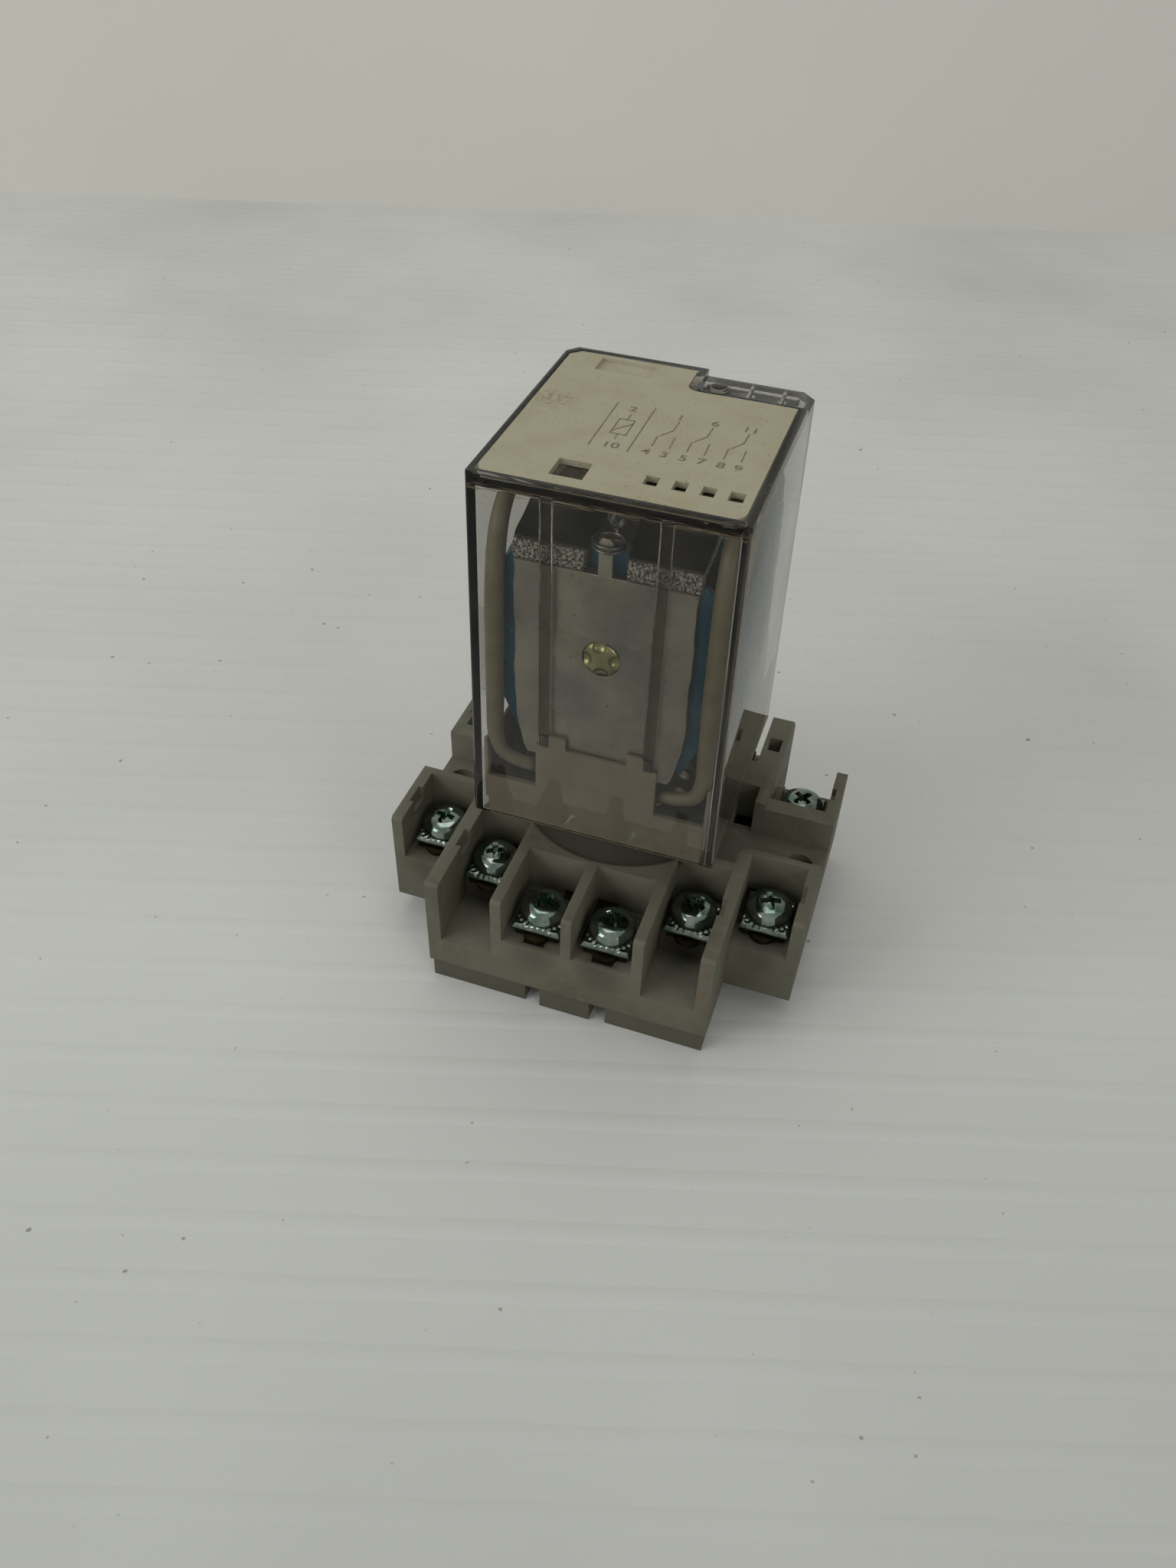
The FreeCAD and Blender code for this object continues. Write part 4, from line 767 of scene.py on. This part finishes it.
# %% What a lamp sees of it
clear = smoked.node("BsdfTransparent")
clear.inputs["Color"].default_value = (0.8, 0.785, 0.75, 1)
shadow = smoked.node("LightPath").outputs["Is Shadow Ray"]
both_ways = smoked.node("MixShader")
smoked.join(shadow, both_ways.inputs["Fac"])
smoked.join(surface, both_ways.inputs[1])
smoked.join(clear.outputs["BSDF"], both_ways.inputs[2])
smoked.join(both_ways.outputs["Shader"], output.inputs["Surface"])
print("nodes in the cover's finish:", len(smoked.tree.nodes))

# %% [markdown]
# A mould needs draft: the open foot of the cover is a little wider than the top, so that the
# cover comes off the core. The side walls of the copy lean out by that much. The well for
# the top plate also runs a little nearer to the left side than to the right.

# %% The cover and its draft
WIDER_TOP = 0.15 * MM
WIDER_FOOT = 0.75 * MM
LEFTWARD = 0.4 * MM
SIDES_FROM = 14.5 * MM
WELL_FLOOR = cover_high[2] - 1.05 * MM
WELL_SIDE = -17.1 * MM
cover = rounded("relay_cover", "smoked_cover", "relay", 0.3, smoked)
for corner in cover.data.vertices:
    depth = (cover_high[2] - corner.co.z) / (cover_high[2] - cover_low[2])
    if abs(corner.co.x) > SIDES_FROM:
        in_well = corner.co.z > WELL_FLOOR and WELL_SIDE < corner.co.x < 0
        lean = WIDER_TOP + (WIDER_FOOT - WIDER_TOP) * depth
        corner.co.x += math.copysign(lean, corner.co.x) - (LEFTWARD if in_well else 0)
print("foot half width %.2f mm" % max(corner.co.x / MM for corner in cover.data.vertices))

# %% [markdown]
# Two ribs inside the front of the cover guide it onto the base. At the lower end of each is
# a small pad with upright teeth, which looks dark through the wall. One tooth is a cube with
# its front edges bevelled, and an Array modifier repeats it.

# %% Toothed pads at the ends of the guide ribs
pad_dark = Finish("pad_dark", colour(70, 66, 56), roughness=0.6, specular_ior_level=0.3)
pad_dark.mottle(0.6, colour(46, 43, 36), 0.4, 0.7).grain(0.1, 0.01)
TOOTH = Vector((0.2, 0.12, 2.0))
TEETH = 4
TOOTH_APART = 0.36
PAD_ASIDE = 7.65
for side, name in ((-1, "left_pad"), (1, "right_pad")):
    tooth = settle(add("cube", name, size=1, scale=TOOTH * MM))
    edit(tooth, "EDGE", lambda edge: all(tooth.data.vertices[end].co.y > 0 for end in edge.vertices))
    bpy.ops.mesh.bevel(offset=0.03 * MM, segments=1, affect="EDGES")
    close()
    apply(tooth, "ARRAY", count=TEETH, use_relative_offset=False, use_constant_offset=True,
          constant_offset_displace=(TOOTH_APART * MM, 0, 0))
    first = side * PAD_ASIDE - (TEETH - 1) * TOOTH_APART / 2
    tooth.location = Vector((first, INSIDE_FRONT + 0.07, RIB_FOOT - TOOTH.z / 2)) * MM
    settle(tooth)
    wear(tooth, pad_dark)
    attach(tooth, "relay")
print("pads under", round(RIB_FOOT, 2), "mm")

# %% [markdown]
# ## The top plate and its diagram
#
# The pale plate on top carries the wiring diagram: the coil between its two pins, and three
# changeover contacts with their pin numbers. The print is thin ink, but a line of ink in a
# shader would need an image, so each stroke is a very low bar that stands on the plate. The
# plate's top is let down by the height of the ink, so that nothing rises above the frame.

# %% The plate
INK = 0.03 * MM
top_plate = rounded("label_plate", "top_plate", "relay", 0.12, plate_cream)
PRINT_Z = cover_high[2] - INK
for corner in top_plate.data.vertices:
    corner.co.z = min(corner.co.z, PRINT_Z)
    if abs(corner.co.x) > SIDES_FROM:
        corner.co.x += math.copysign(WIDER_TOP, corner.co.x) - (LEFTWARD if corner.co.x < 0 else 0)
print("print on z", round(PRINT_Z / MM, 3))

# %% Strokes
ink_grey = Finish("ink_grey", colour(112, 104, 86), roughness=0.7, specular_ior_level=0.2)
ink_grey.mottle(0.5, colour(138, 130, 110), 0.5, 0.62, 4.0).gloss(1.0, 0.6, 0.8)
STROKE = 0.17
ENDS = STROKE * 0.6


def stroke(start, end):
    """A low bar between two places on the plate, in millimetres."""
    run = Vector(end) - Vector(start)
    middle = (Vector(start) + Vector(end)) / 2 * MM
    return settle(add("cube", "stroke", size=1, scale=((run.length + ENDS) * MM, STROKE * MM, INK),
                      location=(*middle, PRINT_Z + INK / 2), rotation=(0, 0, math.atan2(run.y, run.x))))


def polyline(*spots):
    """Strokes from each place to the next."""
    return [stroke(a, b) for a, b in zip(spots, spots[1:])]


drawing = polyline((-6.05, 4.9), (-6.05, -7.5)) + polyline((-0.95, 5.2), (-0.95, -7.5))
drawing += polyline((-4.45, -3.5), (-2.4, -3.5), (-2.4, 0.6), (-4.45, 0.6), (-4.45, -3.5))
drawing += polyline((-4.45, -2.7), (-2.4, -0.3))
drawing += polyline((-3.43, 0.6), (-3.43, 2.2)) + polyline((-3.43, -3.5), (-3.43, -4.9))
for common in (3.0, 7.5, 12.25):
    drawing += polyline((common, 2.6), (common - 0.1, -0.1), (common - 1.3, -2.0))
    drawing += polyline((common - 1.55, -2.2), (common - 1.5, -4.9))
    drawing += polyline((common + 0.65, -1.95), (common + 0.75, -4.8))
print("strokes:", len(drawing))

# %% [markdown]
# The pin numbers are text objects. A text object is a curve, so it is given its thickness
# and made a mesh before its place is applied.

# %% Pin numbers
NUMBERS = {
    "2": (-3.6, 3.1), "10": (-3.4, -7.2), "1": (2.85, 3.1), "6": (7.5, 3.1), "11": (12.2, 3.1),
    "4": (1.2, -7.2), "3": (3.55, -7.2), "5": (6.0, -7.2), "7": (8.3, -7.2), "8": (10.8, -7.2),
    "9": (13.0, -7.2),
}
DIGIT_TALL = 2.0 * MM
DIGIT_BOLD = 0.02 * MM
DIGIT_WIDE = 1.15
for digits, (x, y) in NUMBERS.items():
    bpy.ops.object.select_all(action="DESELECT")
    bpy.ops.object.text_add(location=(x * MM, y * MM, PRINT_Z + INK / 2))
    written = bpy.context.object
    written.data.body = digits
    written.data.align_x = "CENTER"
    written.data.size = DIGIT_TALL
    written.data.extrude = INK / 2
    written.data.offset = DIGIT_BOLD
    written.scale = (DIGIT_WIDE, 1, 1)
    bpy.ops.object.convert(target="MESH")
    drawing.append(settle(bpy.context.object))
diagram = join("wiring_diagram", drawing)
wear(diagram, ink_grey)
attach(diagram, "relay")
print("diagram faces:", len(diagram.data.polygons))

# %% [markdown]
# ## The iron frame
#
# The frame of the relay is an angle bent from zinc-plated sheet. A cutting die leaves wavy
# sides, and the bend itself is stretched until it is rough and glitters. The sides are made
# wavy by moving the vertices of a copy, after it has been cut across many times so that there
# are vertices to move. The glitter is a dark tone and relief, with bright specks painted into
# the colour as glints, held to a band along the bend by masks, which leave out the tab in the
# middle. Above the band the metal is painted dark, a painted shade and dark reflection under
# the top plate, and a dark ring shows where the core's rivet meets it.

# %% The finish of the iron frame
yoke_low, yoke_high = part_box("yoke")
BEND = yoke_high[2] / MM - 1.9
core_low, core_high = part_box("coil_core")
CORE_Z = (core_low[2] + core_high[2]) / 2
zinc_frame = metal("zinc_frame", colour(174, 170, 157), 0.44, colour(165, 158, 144), 5.0, 0.003)
zinc_frame.mottle(9, colour(149, 146, 142), 0.45, 0.65).mottle(0.8, colour(108, 102, 92), 0.68, 0.8)
rivet = (0, yoke_low[1] / MM, CORE_Z / MM)
off_rivet = zinc_frame.sums("SUBTRACT", 1.0, zinc_frame.spot(rivet, 2.2, 2.35))
zinc_frame.tint(zinc_frame.overlap(zinc_frame.spot(rivet, 2.6, 2.75), off_rivet), colour(52, 50, 44))
off_tab = zinc_frame.sums("MAXIMUM", zinc_frame.where("X", 2.3, 2.5), zinc_frame.where("X", -2.3, -2.5))
# Painted shade and dark reflection: the top of the frame above the bend is painted near-black.
painted_dark_top = zinc_frame.overlap(zinc_frame.where("Z", BEND - 0.85, BEND - 0.5), off_tab)
zinc_frame.tint(painted_dark_top, colour(24, 23, 20))
band = zinc_frame.overlap(zinc_frame.where("Z", BEND - 3.5, BEND - 3.1),
                          zinc_frame.where("Z", BEND - 0.6, BEND - 0.9), off_tab)
# Painted glints: bright specks in the band's colour stand for the light caught by the rough bend.
painted_glints = zinc_frame.spread(zinc_frame.noise(0.36, 2.0), 0.42, 0.62)
zinc_frame.tint(band, colour(70, 68, 63), 0.9)
zinc_frame.tint(zinc_frame.overlap(band, painted_glints), colour(206, 204, 194))
zinc_frame.relief(zinc_frame.overlap(zinc_frame.noise(0.3, 3.0), band), 0.5)
print("bend at z", round(BEND, 2))

# %% The iron frame with wavy sides
STEPS = 26
CUT_TOP = yoke_high[2] - 4.5 * MM
WAVE = 0.34 * MM
SIDE = (yoke_high[0] - yoke_low[0]) / 2
iron = welded("yoke", "iron_frame")
for step in range(1, STEPS):
    edit(iron, "FACE", lambda face: True)
    level = yoke_low[2] + (CUT_TOP - yoke_low[2]) * step / STEPS
    bpy.ops.mesh.bisect(plane_co=(0, 0, level), plane_no=(0, 0, 1))
    close()
for corner in iron.data.vertices:
    height = corner.co.z / MM
    if abs(corner.co.x) > SIDE - 0.2 * MM and height < BEND - 3:
        slow = math.sin(height * 0.55 + corner.co.x * 90)
        quick = math.sin(height * 1.5 + 1.0)
        corner.co.x -= math.copysign(WAVE * (0.5 + 0.3 * slow + 0.2 * quick), corner.co.x)
soften(iron, 0.12, 40)
smooth(iron)
wear(iron, zinc_frame)
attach(iron, "relay")
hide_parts("yoke")
print("iron frame faces:", len(iron.data.polygons))

# %% [markdown]
# ## The staked core
#
# The end of the core is spread over the hole by a four-lobed punch, which leaves a raised
# star between four dents. The end of a copy gets four dents from Boolean spheres.

# %% The core and its star
DENT = 1.3 * MM
DENTS_OUT = 2.3 * MM
DENTS_AHEAD = 0.5 * MM
DENTS_TURN = 4
core = welded("coil_core", "staked_core")
for quarter in range(4):
    turn = math.radians(90 * quarter + DENTS_TURN)
    place = (DENTS_OUT * math.cos(turn), core_low[1] - DENTS_AHEAD, CORE_Z + DENTS_OUT * math.sin(turn))
    carve(core, settle(add("uv_sphere", "dent", segments=24, ring_count=12, radius=DENT, location=place)))
soften(core, 0.1, 40)
smooth(core)
wear(core, yellow_core)
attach(core, "relay")
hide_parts("coil_core")
print("core faces:", len(core.data.polygons))

# %% [markdown]
# ## The return spring
#
# A close-wound spring pulls the armature open. It is a wire that climbs as it turns, which is
# just what the Screw modifier does to a small circle. The spring ends in a double ring, two
# tori that hang over the tab of the iron frame, and a short wire runs from the ring up to the
# coil. The other end is a hook over the armature's lug.

# %% The coil
spring_low, spring_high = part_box("return_spring")
THIN = 0.2
WIRE = THIN * MM
COIL_RADIUS = 1.3 * MM
COIL_Z = spring_high[2] - COIL_RADIUS - WIRE
COIL_START = -12.6 * MM
COIL_TURNS = 26
COIL_LONG = 11.2 * MM
section = add("circle", "spring_coil", vertices=8, radius=WIRE, fill_type="NOTHING",
              location=(COIL_RADIUS, 0, 0), rotation=(math.pi / 2, 0, 0))
settle(section)
apply(section, "SCREW", axis="Z", angle=math.tau, screw_offset=COIL_LONG / COIL_TURNS,
      iterations=COIL_TURNS, steps=20, render_steps=20)
section.rotation_euler = (-math.pi / 2, 0, 0)
section.location = (0, COIL_START, COIL_Z)
settle(section)
print("coil faces:", len(section.data.polygons))


# %% Wires bent along a smooth line
def bent_wire(name, spots, radius):
    """A round wire that bends towards its spots. A fourth number thickens or thins it there."""
    bpy.ops.object.select_all(action="DESELECT")
    bpy.ops.curve.primitive_nurbs_path_add(radius=MM)
    piece = bpy.context.object
    piece.name = name
    spline = piece.data.splines[0]
    spline.points.add(max(len(spots) - len(spline.points), 0))
    for point, spot in zip(spline.points, spots):
        point.co = (*(Vector(spot[:3]) * MM - piece.location), 1)
        point.radius = spot[3] if len(spot) > 3 else 1.0
    spline.order_u = 3
    spline.use_endpoint_u = True
    spline.resolution_u = 10
    piece.data.bevel_depth = radius * MM
    piece.data.bevel_resolution = 4
    piece.data.use_fill_caps = True
    bpy.ops.object.convert(target="MESH")
    piece = settle(bpy.context.object)
    piece.data.name = name
    smooth(piece, 50)
    return piece


# %% The ring, the riser and the hook
RING_Y = yoke_low[1] / MM + 1.7
RING_Z = spring_low[2] / MM + 0.2
RING = 2.2
RING_APART = 0.42
loops = []
for level, tilt in ((0.0, 2), (RING_APART, -5)):
    loop = add("torus", "loop", major_radius=RING * MM, minor_radius=WIRE, major_segments=40,
               minor_segments=8, location=(0, RING_Y * MM, (RING_Z + level) * MM),
               rotation=(math.radians(tilt), 0, 0))
    loops.append(settle(loop))
axis = COIL_Z / MM
start = COIL_START / MM
loops.append(bent_wire("riser", [
    (0.4, RING_Y + 2.15, RING_Z + 0.4), (0.1, RING_Y + 2.3, RING_Z + 0.8), (0, start - 1.0, axis - 1.1),
    (0.1, start - 0.2, axis - 1.3), (0.5, start + 0.05, axis - 1.2)], THIN))
end = start + COIL_LONG / MM
loops.append(bent_wire("hook", [
    (0.3, end - 0.1, axis + 1.25), (0.1, end + 0.3, axis + 1.3), (0, end + 0.7, axis + 1.3),
    (0, 0.3, axis + 1.3), (0, 1.0, axis + 1.3)], THIN))
spring = join("return_coil", loops + [section])
smooth(spring, 50)
wear(spring, spring_steel)
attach(spring, "relay")
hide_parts("return_spring")
print("spring faces:", len(spring.data.polygons))

# %% [markdown]
# ## The flexible leads
#
# Cream insulated leads run from the moving blades over the top of the coil and down past both
# sides of the iron frame. At the bottom each turns in behind the front of the relay's base. A
# third lead runs down at the back. The routes are points chosen one by one, in millimetres.

# %% Three leads
LEAD = 1.12
BACK_LEAD = 0.9
BACK = 15.7
LIFT = cover_low[2] / MM
LUG = BEND + 0.9
for name, side in (("pigtail_left", -1), ("pigtail_right", 1)):
    lead = bent_wire(name.replace("pigtail", "lead"), [
        (side * 10.5, 11.2, LUG), (side * 10.9, 10.0, LUG + 3.2), (side * 14.2, 1.5, LUG + 3.0),
        (side * 15.0, -10.5, LUG + 2.8, 1.2), (side * 15.2, -16.6, LUG - 2.5, 1.25),
        (side * 15.4, -16.6, LIFT + 22, 1.25), (side * 15.6, -16.8, LIFT + 12, 1.05),
        (side * 11.8, -16.5, LIFT + 10.2), (side * 9.3, -15.9, LIFT + 9.9),
        (side * 9.1, -12.5, LIFT + 7.6)], LEAD)
    wear(lead, lead_cream)
    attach(lead, "relay")
    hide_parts(name)
lead = bent_wire("lead_centre", [
    (0.0, 11.4, LUG), (0.0, 12.0, LUG + 3.2), (0.0, BACK, LUG + 2.6), (0.1, BACK, LUG - 4),
    (0.7, BACK, LIFT + 20), (0.0, BACK, LIFT + 4.0)], BACK_LEAD)
wear(lead, lead_cream)
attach(lead, "relay")
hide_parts("pigtail_centre")
print("leads bent, lift", round(LIFT, 2), "lug", round(LUG, 2))

# %% [markdown]
# The base of the relay has a thin wall inside the cover's left side and one inside its right
# side. They keep the light of the floor out of the lower corners.

# %% Side walls of the base
FOOT_WALL = Vector((0.6, 33.6, 11.4)) * MM
WALL_ASIDE = 16.6
WALL_Y = -1.1
WALL_Z = LIFT + 8.3
for side, name in ((-1, "left_foot_wall"), (1, "right_foot_wall")):
    foot_wall = settle(add("cube", name, size=1, scale=FOOT_WALL,
                           location=Vector((side * WALL_ASIDE, WALL_Y, WALL_Z)) * MM))
    apply(foot_wall, "BEVEL", width=0.12 * MM, segments=2)
    wear(foot_wall, pale_base)
    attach(foot_wall, "relay")
print("side walls end at z", round(WALL_Z + FOOT_WALL.z / MM / 2, 2))

# %% [markdown]
# ## The nodes that stay
#
# What is left are pieces whose shape is already right. They only need their finish.

# %% Finishes for the nodes that stay
PLAIN = {
    "base_screws": bright_zinc, "plug_pins": tinned_brass,
    "coil_winding": coil_copper, "armature": zinc_sheet, "latch_spring": spring_steel,
    "fixed_contacts_open": contact_alloy, "fixed_contacts_closed": contact_alloy,
    "moving_contact_left": contact_alloy, "moving_contact_centre": contact_alloy,
    "moving_contact_right": contact_alloy, "coil_leads": lead_cream,
}
for tag in TERMINALS:
    PLAIN["contact_strip_" + tag] = strip_brass
for name, finish in PLAIN.items():
    wear(nodes[name], finish)
print("nodes with their own shape:", len(PLAIN))
